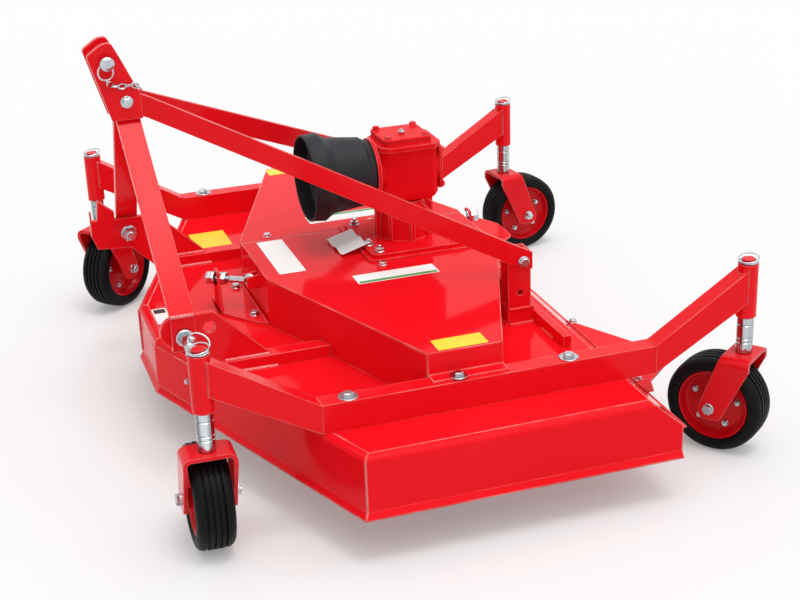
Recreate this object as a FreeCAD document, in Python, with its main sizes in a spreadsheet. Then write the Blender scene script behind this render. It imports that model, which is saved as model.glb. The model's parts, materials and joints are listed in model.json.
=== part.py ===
"""Rear three-point finishing mower: deck, carrying frame, mast, belt drive, blades and casters.

Frame: the origin is midway between the two lower hitch pins. -Y points to the tractor, +X is
the machine's left, +Z is up. The ground lies hitch_pin_height below the origin, so every
height in the sheet is measured from the ground and each piece is lowered by that height.
"""
import FreeCAD, Part
import os

import Sketcher

LENGTHS = {
    # deck
    "deck_half_width": 796, "deck_nose_half_width": 100, "deck_nose_y": -25,
    "deck_shoulder_y": 234, "deck_rear_y": 820, "deck_top": 224, "deck_bottom": 97,
    "deck_sheet": 4, "deck_bend": 12,
    "deck_flange": 20, "lip_flare": 9, "lip_height": 14, "slot_half_spacing": 62, "slot_width": 6,
    "slot_height": 22, "slot_drop": 35,
    # rear flap, ledge and grass deflectors
    "flap_run": 65, "flap_drop": 58, "flap_setback": 8, "ledge_drop": 63, "ledge_reach": 17,
    "deflector_gap": 3, "deflector_sheet": 5, "deflector_inner_x": 234,
    "deflector_crest_inner_x": 430, "deflector_crest_outer_x": 528, "deflector_reach": 100,
    "deflector_waist_x": 590, "deflector_waist_reach": 32, "deflector_outer_x": 632,
    "deflector_ear": 17, "deflector_round": 26, "deflector_spacing": 858,
    # side beams and caster tubes
    "caster_half_track": 654, "front_caster_y": -28, "rear_caster_y": 1097,
    "beam_width": 40, "beam_height": 60, "beam_front_bend_y": 191, "beam_rear_bend_y": 886,
    "arm_rise": 134, "arm_end_drop": 12, "tube_diameter": 42, "tube_bore": 26,
    "tube_bottom": 308, "tube_top": 423,
    # caster forks and wheels
    "spindle_diameter": 25.9, "fork_top": 227, "fork_sheet": 8, "fork_inside": 88,
    "fork_width": 62, "fork_trail": 50, "fork_bend": 17, "fork_eye": 24, "fork_eye_round": 16,
    "wheel_radius": 105, "tyre_width": 76, "tyre_bead": 7, "tyre_crown": 9,
    "tyre_shoulder_drop": 15, "tyre_edge_drop": 4, "tyre_tread_inset": 16,
    "rim_radius": 76, "rim_width": 64, "rim_sheet": 5, "rim_taper": 9, "rim_web": 28,
    "hub_radius": 19, "hub_length": 82, "hub_bore": 12.1, "axle_diameter": 12,
    "axle_head": 9, "axle_head_radius": 11, "spacer_diameter": 34, "cap_diameter": 46,
    "cap_height": 10,
    # lower hitch
    "hitch_pin_height": 324, "hitch_half_span": 341.5, "hitch_pin_diameter": 22,
    "hitch_pin_reach": 55, "hitch_collar_diameter": 36, "hitch_collar_length": 12,
    "hitch_thread_diameter": 20, "hitch_nut": 33, "hitch_nut_length": 18,
    "hitch_washer_diameter": 44, "hitch_washer": 3, "hitch_thread_end": 4,
    "hitch_plate_thickness": 12, "hitch_plate_flat_y": 66, "hitch_plate_heel_y": 180,
    "hitch_plate_toe_y": 63, "hitch_nose_radius": 32, "hitch_nose_y": -13,
    "hitch_nose_lift": 6, "hitch_belly_y": -35, "hitch_belly_drop": 17,
    "spare_hole_y": 56, "spare_hole_diameter": 25,
    "rest_nose_y": -88, "rest_chin_y": -76, "rest_chin_drop": 32, "rest_neck_y": 2,
    "rest_neck_drop": 37, "rest_prong": 4, "rest_prong_top": 386, "rest_slot_bottom": 364,
    "rest_slot": 12, "rest_horn_y": -66, "rest_horn_top": 412, "rest_back_y": -30,
    "rest_back_top": 381,
    # mast
    "mast_height": 500, "mast_pin_y": -57, "mast_pin_diameter": 19, "mast_gap": 52,
    "mast_plate": 12, "mast_head_front": 39, "mast_head_top": 38, "mast_head_rear": 32,
    "mast_head_cut": 18, "mast_head_round": 10, "mast_brow_drop": 23, "mast_brow_run": 34,
    "mast_brow_round": 36, "mast_foot_front_y": -56,
    "mast_foot_rear_y": 8, "mast_heel_rise": 51, "mast_knee_y": -68, "mast_knee_rise": 42,
    "mast_foot_height": 698, "top_pin_overhang": 14, "top_pin_head_radius": 15,
    "top_pin_head": 6, "leg_width": 50, "leg_thickness": 12, "leg_foot_drop": 32,
    "leg_bend_rise": 6, "leg_head_y": -22, "leg_head_gap": 0.5,
    "brace_thickness": 10, "brace_height": 48, "brace_head_front_y": -42,
    "brace_head_rise": 47, "brace_bend_y": 20, "brace_bend_rise": 20,
    "brace_tail_height": 394, "brace_end_height": 371, "brace_end_width": 38,
    # rails, rear posts and cross bar
    "rail_inner_x": 303, "rail_width": 35, "rail_height": 26, "rail_front_y": 75,
    "rail_gap": 1, "post_outer_x": 336, "post_width": 46, "post_y": 706, "post_depth": 52,
    "post_sheet": 6, "post_top": 391, "post_base": 36,
    "post_hole_y": 734, "post_hole_height": 297, "post_hole_diameter": 14,
    "bar_y": 766, "bar_depth": 18, "bar_height": 26, "bar_half_length": 490,
    # belt covers
    "cover_front_y": 226, "cover_nose_half_width": 127, "cover_shoulder_y": 417,
    "cover_heel_y": 573, "cover_rear_y": 764, "cover_top": 333, "cover_sheet": 3,
    "cover_seam_x": -110, "cover_gap": 2, "cover_flange": 30,
    # gearbox and power take-off
    "gearbox_y": 591, "gearbox_length": 138, "gearbox_width": 104, "gearbox_bottom": 430,
    "gearbox_top": 568, "gearbox_round": 26, "gearbox_corner_round": 22, "gearbox_lead": 6,
    "gearbox_boss": 6, "gearbox_boss_radius": 48, "gearbox_rim": 11, "gearbox_rim_width": 128,
    "gearbox_rim_length": 142, "gearbox_rim_cut": 18, "gearbox_cover_height": 16,
    "gearbox_cover_length": 112, "gearbox_cover_width": 112, "lid_corner_round": 12,
    "lid_edge_round": 3, "input_flange_radius": 72, "input_flange": 8,
    "stand_neck_radius": 46, "stand_waist_radius": 54,
    "stand_waist_height": 408, "stand_foot_radius": 58, "stand_base_half_width": 118,
    "stand_base_half_length": 112, "stand_base": 12, "stand_base_round": 16,
    "stand_rib": 10, "stand_rib_reach": 68, "shaft_height": 505, "shaft_diameter": 35,
    "shaft_reach": 85, "shaft_collar_diameter": 48, "shaft_collar_proud": 6,
    "shaft_bore_depth": 30, "shaft_clearance": 0.05,
    "guard_mouth_y": 358, "guard_mouth_radius": 96, "guard_lip_y": 390,
    "guard_lip_radius": 99, "guard_body_y": 410, "guard_body_radius": 86,
    "guard_waist_y": 488, "guard_waist_radius": 77, "guard_collar_y": 492,
    "guard_collar_radius": 73, "guard_rear_radius": 68,
    "guard_sheet": 4, "guard_bolting_radius": 46,
    # belt tensioners
    "lug_half_width": 38, "lug_top_half_width": 15, "lug_sheet": 6, "lug_top": 318,
    "rod_height": 300, "rod_diameter": 14, "rod_nut": 27, "rod_nut_length": 18,
    "rod_gap": 3, "front_rod_end": 25, "rear_rod_end": 20, "front_lug_x": -6,
    "front_lug_y": 140, "rear_lug_x": -158, "rear_lug_y": 800,
    # blades below the deck
    "blade_half_track": 505, "front_blade_y": 300, "rear_blade_y": 500, "blade_length": 528,
    "blade_width": 62, "blade_sheet": 8, "blade_height": 118, "housing_radius": 48,
    "housing_bottom": 168, "rotor_shaft_diameter": 30, "rotor_disc_radius": 40,
    "rotor_shaft_top": 205, "housing_flange_radius": 78, "housing_flange": 8, "rotor_gap": 6,
    "end_gap": 0.5,
}
# rest headings of the casters, in degrees: the side that each wheel trails to, from +X to +Y
HEADINGS = {"front_left": 178, "rear_left": 218, "front_right": 134, "rear_right": 98}
NEAR = 0.001

doc = FreeCAD.newDocument("finishing_mower")
sheet = doc.addObject("Spreadsheet::Sheet", "sizes")
for row, (name, value) in enumerate(LENGTHS.items(), start=1):
    sheet.set("A%d" % row, str(value))
    sheet.setAlias("A%d" % row, name)
for row, (name, value) in enumerate(HEADINGS.items(), start=len(LENGTHS) + 1):
    sheet.set("A%d" % row, str(value))
    sheet.setAlias("A%d" % row, "heading_" + name)
doc.recompute()

nodes = {}


def link(text):
    """Turn the sheet's words in a formula into references to the sheet."""
    words = sorted(list(LENGTHS) + ["heading_" + name for name in HEADINGS], key=len)
    out = []
    token = ""
    for letter in text + " ":
        if letter.isalnum() or letter in "_.":
            token += letter
            continue
        out.append("sizes." + token if token in words else token)
        out.append(letter)
        token = ""
    return "".join(out).strip()


def value(text):
    return float(sheet.evalExpression(link(text)))


def bind(thing, **formulas):
    """Bind properties of an object to formulas over the sheet; __ stands for a dot."""
    for name, text in formulas.items():
        thing.setExpression(name.replace("__", "."), link(text))


def node(label, thing, x="0", y="0", z="0", heading=None):
    """Name a finished sub-part and place it at x, y and a height above the ground."""
    thing.Label = label
    if heading:
        thing.Placement = FreeCAD.Placement(
            FreeCAD.Vector(), FreeCAD.Rotation(FreeCAD.Vector(0, 0, 1), 1))
        bind(thing, Placement__Rotation__Angle=heading)
    bind(thing, Placement__Base__x=x, Placement__Base__y=y,
         Placement__Base__z=z + " - hitch_pin_height")
    nodes[label] = thing
    return thing


def new_body(name):
    return doc.addObject("PartDesign::Body", name)


def sketch_on(body, role, offset):
    sketch = body.newObject("Sketcher::SketchObject", "outline")
    plane = [f for f in body.Origin.OriginFeatures if f.Role == role + "_Plane"][0]
    sketch.AttachmentSupport = [(plane, "")]
    sketch.MapMode = "FlatFace"
    bind(sketch, AttachmentOffset__Base__z=offset)
    return sketch


def polygon(body, role, points, offset="0"):
    """Sketch a closed polygon whose corners are pairs of formulas."""
    sketch = sketch_on(body, role, offset)
    corners = [(value(a), value(b)) for a, b in points]
    count = len(points)
    for i in range(count):
        start = FreeCAD.Vector(*corners[i], 0)
        end = FreeCAD.Vector(*corners[(i + 1) % count], 0)
        sketch.addGeometry(Part.LineSegment(start, end), False)
    for i in range(count):
        sketch.addConstraint(Sketcher.Constraint("Coincident", i, 2, (i + 1) % count, 1))
    for i in range(count):
        for k, kind in enumerate(("DistanceX", "DistanceY")):
            place = sketch.addConstraint(Sketcher.Constraint(kind, -1, 1, i, 1, corners[i][k]))
            sketch.setExpression("Constraints[%d]" % place, link(points[i][k]))
    return sketch


def circle(body, role, x, y, radius, offset="0"):
    sketch = sketch_on(body, role, offset)
    centre = FreeCAD.Vector(value(x), value(y), 0)
    sketch.addGeometry(Part.Circle(centre, FreeCAD.Vector(0, 0, 1), value(radius)), False)
    for kind, text, k in (("DistanceX", x, 0), ("DistanceY", y, 1)):
        place = sketch.addConstraint(Sketcher.Constraint(kind, -1, 1, 0, 3, centre[k]))
        sketch.setExpression("Constraints[%d]" % place, link(text))
    place = sketch.addConstraint(Sketcher.Constraint("Radius", 0, value(radius)))
    sketch.setExpression("Constraints[%d]" % place, link(radius))
    return sketch


def pad(body, sketch, length, midplane=False):
    feature = body.newObject("PartDesign::Pad", "pad")
    feature.Profile = sketch
    feature.Midplane = midplane
    bind(feature, Length=length)
    doc.recompute()
    return feature


def pocket(body, sketch, length, midplane=False, flip=False):
    """Cut a sketch away, and make sure that something was cut."""
    before = body.Shape.Volume
    feature = body.newObject("PartDesign::Pocket", "pocket")
    feature.Profile = sketch
    feature.Midplane = midplane
    feature.Reversed = flip
    bind(feature, Length=length)
    doc.recompute()
    if not body.Shape.Volume < before - 1e-6:
        raise ValueError("a pocket cut nothing in " + body.Name)
    return feature


def revolve(body, sketch, axis):
    feature = body.newObject("PartDesign::Revolution", "turned")
    feature.Profile = sketch
    feature.ReferenceAxis = (sketch, [axis])
    feature.Angle = 360
    doc.recompute()
    return feature


def plate(label, role, points, thickness, offset="0", midplane=False):
    body = new_body(label)
    pad(body, polygon(body, role, points, offset), thickness, midplane)
    return node(label, body)


def mirrored(label, source):
    """The same piece on the machine's right."""
    copy = doc.addObject("Part::Mirroring", label)
    copy.Source = source
    copy.Normal = FreeCAD.Vector(1, 0, 0)
    copy.Label = label
    nodes[label] = copy
    return copy


def both_sides(name, maker):
    left = maker(name + "_left")
    return left, mirrored(name + "_right", left)


def loft(body, role, sections):
    """Join outlines on parallel planes by straight faces; sections are (points, offset) pairs."""
    sketches = [polygon(body, role, points, offset) for points, offset in sections]
    feature = body.newObject("PartDesign::AdditiveLoft", "bar")
    feature.Profile = sketches[0]
    feature.Sections = sketches[1:]
    feature.Ruled = True
    doc.recompute()
    return feature


def fillet(body, radius, *middles):
    """Round the edges whose middles are at the given points."""
    points = [FreeCAD.Vector(*[value(text) for text in middle]) for middle in middles]
    base = body.Tip
    names = []
    for count, edge in enumerate(base.Shape.Edges, start=1):
        centre = (edge.valueAt(edge.FirstParameter) + edge.valueAt(edge.LastParameter)) / 2
        if any(centre.distanceToPoint(point) < NEAR for point in points):
            names.append("Edge%d" % count)
    if len(names) != len(points):
        raise ValueError("an edge to round is missing in " + body.Name)
    feature = body.newObject("PartDesign::Fillet", "round")
    feature.Base = (base, names)
    bind(feature, Radius=radius)
    doc.recompute()
    return feature


def rectangle(x_low, x_high, y_low, y_high):
    return [(x_low, y_low), (x_high, y_low), (x_high, y_high), (x_low, y_high)]


def cylinder(name, radius, height, x="0", y="0", z="0"):
    shape = doc.addObject("Part::Cylinder", name)
    bind(shape, Radius=radius, Height=height,
         Placement__Base__x=x, Placement__Base__y=y, Placement__Base__z=z)
    return shape


def fuse(name, shapes):
    joined = doc.addObject("Part::MultiFuse", name)
    joined.Shapes = shapes
    return joined


def cut(name, base, tool):
    result = doc.addObject("Part::Cut", name)
    result.Base = base
    result.Tool = tool
    return result


def compound(name, shapes):
    group = doc.addObject("Part::Compound", name)
    group.Links = shapes
    return group


# ---------------------------------------------------------------- deck

RAKE = "atan2(deck_shoulder_y - deck_nose_y; deck_half_width - deck_nose_half_width)"
DECK_FOOT = "(deck_rear_y + flap_run)"
LEDGE_TOP = "(deck_top - ledge_drop)"


def nose(offset):
    """Nose corner of the deck's outline, moved out square to both of its edges."""
    return ("deck_nose_half_width + (%s) * tan(%s / 2)" % (offset, RAKE),
            "deck_nose_y - (%s)" % offset)


def shoulder(offset):
    return ("deck_half_width + (%s)" % offset,
            "deck_shoulder_y - (%s) * (1 - sin(%s)) / cos(%s)" % (offset, RAKE, RAKE))


def heel(offset):
    return "deck_half_width + (%s)" % offset, DECK_FOOT


def across(corner):
    """The same corner on the machine's right."""
    def other(offset):
        x, y = corner(offset)
        return "-(%s)" % x, y
    return other


def middle(first, second, z):
    return ("(%s + %s) / 2" % (first[0], second[0]), "(%s + %s) / 2" % (first[1], second[1]), z)


def make_deck():
    front, side = nose("-deck_flange"), shoulder("-deck_flange")
    plate("deck_top", "XY", [
        across(nose)("-deck_flange"), front, side, (side[0], "deck_rear_y"),
        ("-(%s)" % side[0], "deck_rear_y"), across(shoulder)("-deck_flange"),
    ], "deck_sheet", "deck_top - deck_sheet")
    body = skirt("deck_front", across(nose), nose)
    for x in ("-slot_half_spacing", "slot_half_spacing"):
        slot = rectangle(x + " - slot_width / 2", x + " + slot_width / 2",
                         "deck_top - slot_drop - slot_height / 2",
                         "deck_top - slot_drop + slot_height / 2")
        pocket(body, polygon(body, "XZ", slot, "-deck_nose_y"), "3 * deck_sheet", midplane=True)
    node("deck_front", body)
    both_sides("deck_slant", lambda label: node(label, skirt(label, nose, shoulder)))
    both_sides("deck_side", make_deck_side)
    make_deck_rear()


def skirt(label, first, second):
    """Skirt strip between two corners, bent over into the deck and flared out at its lip."""
    def strip(outer, inner):
        return [first(outer), second(outer), second(inner), first(inner)]
    body = new_body(label)
    low = "(deck_bottom + lip_height)"
    under = "(deck_top - deck_sheet)"
    pad(body, polygon(body, "XY", strip("0", "-deck_flange"), low), "deck_top - " + low)
    pocket(body, polygon(body, "XY", strip("-deck_sheet", "-deck_flange"), low),
           under + " - " + low, flip=True)
    fillet(body, "deck_bend", middle(first("0"), second("0"), "deck_top"))
    fillet(body, "deck_bend - deck_sheet",
           middle(first("-deck_sheet"), second("-deck_sheet"), under))
    loft(body, "XY", [(strip("0", "-deck_sheet"), low),
                      (strip("lip_flare", "lip_flare - deck_sheet"), "deck_bottom")])
    return body


def make_deck_side(label):
    """Side skirt, its rear end cut to the slope of the flap."""
    body = skirt(label, shoulder, heel)
    slope = polygon(body, "YZ", [
        ("deck_rear_y", "deck_top"), (DECK_FOOT + " + deck_sheet", "deck_top"),
        (DECK_FOOT + " + deck_sheet", "deck_top - flap_drop"),
        (DECK_FOOT, "deck_top - flap_drop"),
    ])
    pocket(body, slope, "deck_half_width + lip_flare", flip=True)
    flange = polygon(body, "XY", rectangle(
        "deck_half_width - 2 * deck_flange", "deck_half_width - deck_sheet", "deck_rear_y",
        DECK_FOOT + " + deck_sheet"), "deck_bottom + lip_height")
    pocket(body, flange, "deck_top", flip=True)
    return node(label, body)


def make_deck_rear():
    """Sloping rear flap with a step down to the ledge that carries the deflectors."""
    step_y = "(%s - flap_setback)" % DECK_FOOT
    step = "(deck_top - flap_drop * (flap_run - flap_setback) / flap_run)"
    plate("deck_rear", "YZ", [
        ("deck_rear_y", "deck_top"), (step_y, step), (step_y, LEDGE_TOP),
        (step_y + " + ledge_reach", LEDGE_TOP),
        (step_y + " + ledge_reach", LEDGE_TOP + " - deck_sheet"),
        (step_y + " - deck_sheet", LEDGE_TOP + " - deck_sheet"),
        (step_y + " - deck_sheet", step + " - deck_sheet"),
        ("deck_rear_y", "deck_top - deck_sheet"),
    ], "2 * (deck_half_width - deck_sheet)", midplane=True)


def make_deflector(label):
    """Fin-shaped plate on the ledge, which lays the grass down behind its blade."""
    body = new_body(label)
    root = "(%s + deflector_gap)" % DECK_FOOT
    crest = "(%s + deflector_reach)" % root
    pad(body, polygon(body, "XY", [
        ("deflector_inner_x", root), ("deflector_crest_inner_x", crest),
        ("deflector_crest_outer_x", crest),
        ("deflector_waist_x", root + " + deflector_waist_reach"),
        ("deflector_outer_x", root + " + deflector_ear"), ("deflector_outer_x", root),
    ], LEDGE_TOP), "deflector_sheet")
    half = LEDGE_TOP + " + deflector_sheet / 2"
    fillet(body, "deflector_round", ("deflector_crest_inner_x", crest, half),
           ("deflector_crest_outer_x", crest, half))
    return body


# ---------------------------------------------------------------- frame

PIN = "hitch_pin_height"
PLATE_TOP = "(hitch_pin_height + hitch_nose_lift + hitch_nose_radius)"
RAIL_TOP = "(deck_top + rail_height)"
PLATE_INNER = "(hitch_half_span - leg_thickness - hitch_plate_thickness)"
COVER_END = "(caster_half_track - beam_width / 2 - cover_gap)"


def make_side_beam(label):
    """Rectangular tube along the deck, its ends cranked up to the caster tubes."""
    body = new_body(label)
    low, high = "deck_top", "deck_top + beam_height"
    profile = polygon(body, "YZ", [
        ("beam_front_bend_y", low), ("beam_rear_bend_y", low),
        ("rear_caster_y", "deck_top + arm_rise - arm_end_drop"),
        ("rear_caster_y", "deck_top + arm_rise + beam_height"),
        ("beam_rear_bend_y", high), ("beam_front_bend_y", high),
        ("front_caster_y", "deck_top + arm_rise + beam_height"),
        ("front_caster_y", "deck_top + arm_rise - arm_end_drop"),
    ], "caster_half_track")
    pad(body, profile, "beam_width", midplane=True)
    for y in ("front_caster_y", "rear_caster_y"):
        pocket(body, circle(body, "XY", "caster_half_track", y, "tube_diameter / 2"),
               "3 * tube_top", midplane=True)
    return node(label, body)


def make_caster_tubes():
    tubes = []
    for end in ("front", "rear"):
        y = end + "_caster_y"
        outer = cylinder(end + "_tube", "tube_diameter / 2", "tube_top - tube_bottom",
                         "caster_half_track", y, "tube_bottom")
        bore = cylinder(end + "_bore", "tube_bore / 2", "tube_top - tube_bottom",
                        "caster_half_track", y, "tube_bottom")
        tube = cut(end + "_left_tube", outer, bore)
        other = doc.addObject("Part::Mirroring", end + "_right_tube")
        other.Source = tube
        other.Normal = FreeCAD.Vector(1, 0, 0)
        tubes += [tube, other]
    node("caster_tubes", compound("caster_tubes", tubes))


PLATE_REAR = [
    ("hitch_plate_flat_y", PLATE_TOP), ("hitch_plate_heel_y", RAIL_TOP),
    ("rail_front_y", RAIL_TOP), ("rail_front_y", "deck_top"),
    ("hitch_plate_toe_y", "deck_top"),
]


def pin_hole(body):
    hole = circle(body, "YZ", "0", PIN, "hitch_thread_diameter / 2 + shaft_clearance")
    pocket(body, hole, "3 * hitch_half_span", midplane=True)


def spare_hole(body):
    hole = circle(body, "YZ", "spare_hole_y", PIN + " + hitch_nose_lift",
                  "spare_hole_diameter / 2")
    pocket(body, hole, "3 * hitch_half_span", midplane=True)


def make_left_hitch_plate():
    """Plate from the deck up to the left pin, with a round nose."""
    body = new_body("hitch_plate_left")
    pad(body, polygon(body, "YZ", PLATE_REAR + [
        ("hitch_belly_y", PIN + " - hitch_belly_drop"), ("hitch_nose_y", PLATE_TOP),
    ], PLATE_INNER), "hitch_plate_thickness")
    pad(body, circle(body, "YZ", "hitch_nose_y", PIN + " + hitch_nose_lift",
                     "hitch_nose_radius", PLATE_INNER), "hitch_plate_thickness")
    pin_hole(body)
    spare_hole(body)
    node("hitch_plate_left", body)


def make_right_hitch_plate():
    """The right plate reaches further forward, to a hook that the drive shaft rests in."""
    body = new_body("hitch_plate_right")
    inside = "rest_nose_y + rest_prong"
    pad(body, polygon(body, "YZ", PLATE_REAR + [
        ("rest_neck_y", PIN + " - rest_neck_drop"), ("rest_chin_y", PIN + " - rest_chin_drop"),
        ("rest_nose_y", PIN), ("rest_nose_y", "rest_prong_top"), (inside, "rest_prong_top"),
        (inside, "rest_slot_bottom"), (inside + " + rest_slot", "rest_slot_bottom"),
        ("rest_horn_y", "rest_horn_top"), ("rest_back_y", "rest_back_top"),
        ("rest_back_y", PLATE_TOP),
    ], "-%s - hitch_plate_thickness" % PLATE_INNER), "hitch_plate_thickness")
    pin_hole(body)
    spare_hole(body)
    node("hitch_plate_right", body)


def hexagon(flats, x="0", y="0"):
    """Corners of a nut with the given width across its flats."""
    half, low, high = flats + " / 2", flats + " / sqrt(12)", flats + " / sqrt(3)"
    return [("%s + %s" % (x, a), "%s + %s" % (y, b)) for a, b in (
        (half, low), ("0", high), ("-" + half, low), ("-" + half, "-" + low),
        ("0", "-" + high), (half, "-" + low))]


def make_hitch_pin(label):
    """Lower link pin: collar outside the plates, washer and nut inside them."""
    body = new_body(label)
    tip = "hitch_half_span + hitch_collar_length + hitch_pin_reach"
    collar = "hitch_half_span + hitch_collar_length"
    washer = PLATE_INNER + " - hitch_washer"
    nut = washer + " - hitch_nut_length"
    thread = "hitch_thread_diameter / 2"
    revolve(body, polygon(body, "XZ", [
        (tip, "0"), (tip, "hitch_pin_diameter / 2"), (collar, "hitch_pin_diameter / 2"),
        (collar, "hitch_collar_diameter / 2"), ("hitch_half_span", "hitch_collar_diameter / 2"),
        ("hitch_half_span", thread), (PLATE_INNER, thread),
        (PLATE_INNER, "hitch_washer_diameter / 2"), (washer, "hitch_washer_diameter / 2"),
        (washer, thread), (nut + " - hitch_thread_end", thread),
        (nut + " - hitch_thread_end", "0"),
    ]), "H_Axis")
    pad(body, polygon(body, "YZ", hexagon("hitch_nut"), nut), "hitch_nut_length")
    return node(label, body, z=PIN)


def make_leg(label):
    """Flat bar, upright on the hitch plate, then leaning in to the foot of the mast."""
    body = new_body(label)
    head = "(mast_foot_height - leg_head_gap)"
    bend = "(%s + leg_bend_rise)" % PLATE_TOP
    lean = "((hitch_half_span - mast_gap / 2) / (%s - %s))" % (head, bend)
    slant = "leg_thickness * sqrt(1 + %s^2)" % lean
    inner_bend = "%s - leg_thickness * (sqrt(1 + %s^2) - 1) / %s" % (bend, lean, lean)

    def section(outer, thickness, y):
        return rectangle("%s - %s" % (outer, thickness), outer, y + " - leg_width / 2",
                         y + " + leg_width / 2")
    loft(body, "XY", [
        (section("hitch_half_span", "leg_thickness", "0"), PIN + " - leg_foot_drop"),
        (section("hitch_half_span", "leg_thickness", "0"), inner_bend),
        (section("hitch_half_span", slant, "0"), bend),
        (section("mast_gap / 2", slant, "leg_head_y"), head),
    ])
    pin_hole(body)
    return node(label, body)


def make_mast_plate(label):
    """One of the two plates that hold the top link's pin."""
    body = new_body(label)
    pin = "(hitch_pin_height + mast_height)"
    front, rear = "mast_pin_y - mast_head_front", "mast_pin_y + mast_head_rear"
    top = pin + " + mast_head_top"
    pad(body, polygon(body, "YZ", [
        (front, top + " - mast_brow_drop"), (front + " + mast_brow_run", top),
        (rear + " - mast_head_cut", top), (rear, pin),
        ("mast_foot_rear_y", "mast_foot_height + mast_heel_rise"),
        ("mast_foot_rear_y", "mast_foot_height"), ("mast_foot_front_y", "mast_foot_height"),
        ("mast_knee_y", "mast_foot_height + mast_knee_rise"),
    ], "mast_gap / 2"), "mast_plate")
    half = "mast_gap / 2 + mast_plate / 2"
    fillet(body, "mast_head_round", (half, front, top + " - mast_brow_drop"),
           (half, rear + " - mast_head_cut", top))
    fillet(body, "mast_brow_round", (half, front + " + mast_brow_run", top))
    pocket(body, circle(body, "YZ", "mast_pin_y", pin,
                        "mast_pin_diameter / 2 + shaft_clearance"),
           "4 * mast_gap", midplane=True)
    return node(label, body)


def make_top_pin():
    """Pin through both mast plates that takes the tractor's top link."""
    body = new_body("top_link_pin")
    reach = "mast_gap / 2 + mast_plate + top_pin_overhang"
    pin = "hitch_pin_height + mast_height"
    pad(body, circle(body, "YZ", "mast_pin_y", pin, "mast_pin_diameter / 2"),
        "2 * (%s)" % reach, midplane=True)
    pad(body, circle(body, "YZ", "mast_pin_y", pin, "top_pin_head_radius", reach),
        "top_pin_head")
    node("top_link_pin", body)


def make_brace(label):
    """Flat bar from inside the mast plates back to the outside of the rear post."""
    body = new_body(label)

    def section(x, z, height, y):
        half = " %s " + height + " / 2"
        return rectangle(x, x + " + brace_thickness", z + half % "-", z + half % "+"), "-(%s)" % y
    head = "mast_gap / 2 - brace_thickness"
    loft(body, "XZ", [
        section(head, "mast_foot_height + brace_head_rise", "brace_height",
                "brace_head_front_y"),
        section(head, "mast_foot_height + brace_bend_rise", "brace_height", "brace_bend_y"),
        section("post_outer_x", "brace_tail_height", "brace_height", "post_y"),
        section("post_outer_x", "brace_end_height", "brace_end_width",
                "post_y + post_depth"),
    ])
    return node(label, body)


def cover_line(x, from_end, at_nose, at_end):
    """Where a slanted wall of the belt cover lies at x."""
    return "(%s + (%s - %s) * (%s - %s) / (%s - cover_nose_half_width))" % (
        at_end, COVER_END, x, at_nose, at_end, from_end)


def make_rail(label):
    """Bar on the deck that stiffens it below the hitch plate, up to the belt cover."""
    outer = "rail_inner_x + rail_width"

    def rear(x):
        return cover_line(x, COVER_END, "cover_front_y", "cover_shoulder_y") + " - rail_gap"
    return plate(label, "XY", [
        ("rail_inner_x", "rail_front_y"), (outer, "rail_front_y"),
        (outer, rear("(%s)" % outer)), ("rail_inner_x", rear("rail_inner_x")),
    ], "rail_height", "deck_top")


def make_rear_post(label):
    """Channel on a block on the deck; the brace is bolted to its outer side."""
    body = new_body(label)
    inner, rear = "post_outer_x - post_width", "post_y + post_depth"
    pad(body, polygon(body, "XY", rectangle(inner, "post_outer_x", "post_y", "bar_y"),
                      "deck_top"), "post_base")
    pad(body, polygon(body, "XY", [
        ("post_outer_x", "post_y"), ("post_outer_x", rear), (inner, rear), (inner, "post_y"),
        (inner + " + post_sheet", "post_y"), (inner + " + post_sheet", rear + " - post_sheet"),
        ("post_outer_x - post_sheet", rear + " - post_sheet"),
        ("post_outer_x - post_sheet", "post_y"),
    ], "deck_top + post_base"), "post_top - deck_top - post_base")
    hole = circle(body, "YZ", "post_hole_y", "post_hole_height", "post_hole_diameter / 2")
    pocket(body, hole, "3 * post_outer_x", midplane=True)
    return node(label, body)


def make_cross_bar():
    plate("rear_cross_bar", "YZ",
          rectangle("bar_y", "bar_y + bar_depth", "deck_top", "deck_top + bar_height"),
          "2 * bar_half_length", midplane=True)


# ---------------------------------------------------------------- drive

BOX_FACE = "(gearbox_y - gearbox_length / 2 - gearbox_boss)"
FLANGE_FACE = "(%s - input_flange)" % BOX_FACE
SHOULDER_Y = "(%s - shaft_collar_proud)" % FLANGE_FACE


def make_belt_cover(label, sign, seam):
    """One half of the folded cover over the belts, open below and towards the seam."""
    body = new_body(label)

    def outline(inset):
        nose_x = "%s(cover_nose_half_width - %s)" % (sign, inset)
        end_x = "%s(%s - %s)" % (sign, COVER_END, inset)
        front, rear = "cover_front_y + " + inset, "cover_rear_y - " + inset
        return [(seam, front), (nose_x, front), (end_x, "cover_shoulder_y"),
                (end_x, "cover_heel_y"), (nose_x, rear), (seam, rear)]
    pad(body, polygon(body, "XY", outline("0"), "deck_top"), "cover_top - deck_top")
    pocket(body, polygon(body, "XY", outline("cover_sheet"), "deck_top"),
           "cover_top - deck_top - cover_sheet", flip=True)
    lug = rectangle(sign + COVER_END, "%s(%s + cover_flange)" % (sign, COVER_END),
                    "cover_shoulder_y", "cover_heel_y")
    pad(body, polygon(body, "XY", lug, "deck_top + beam_height"), "cover_sheet")
    return node(label, body)


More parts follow.
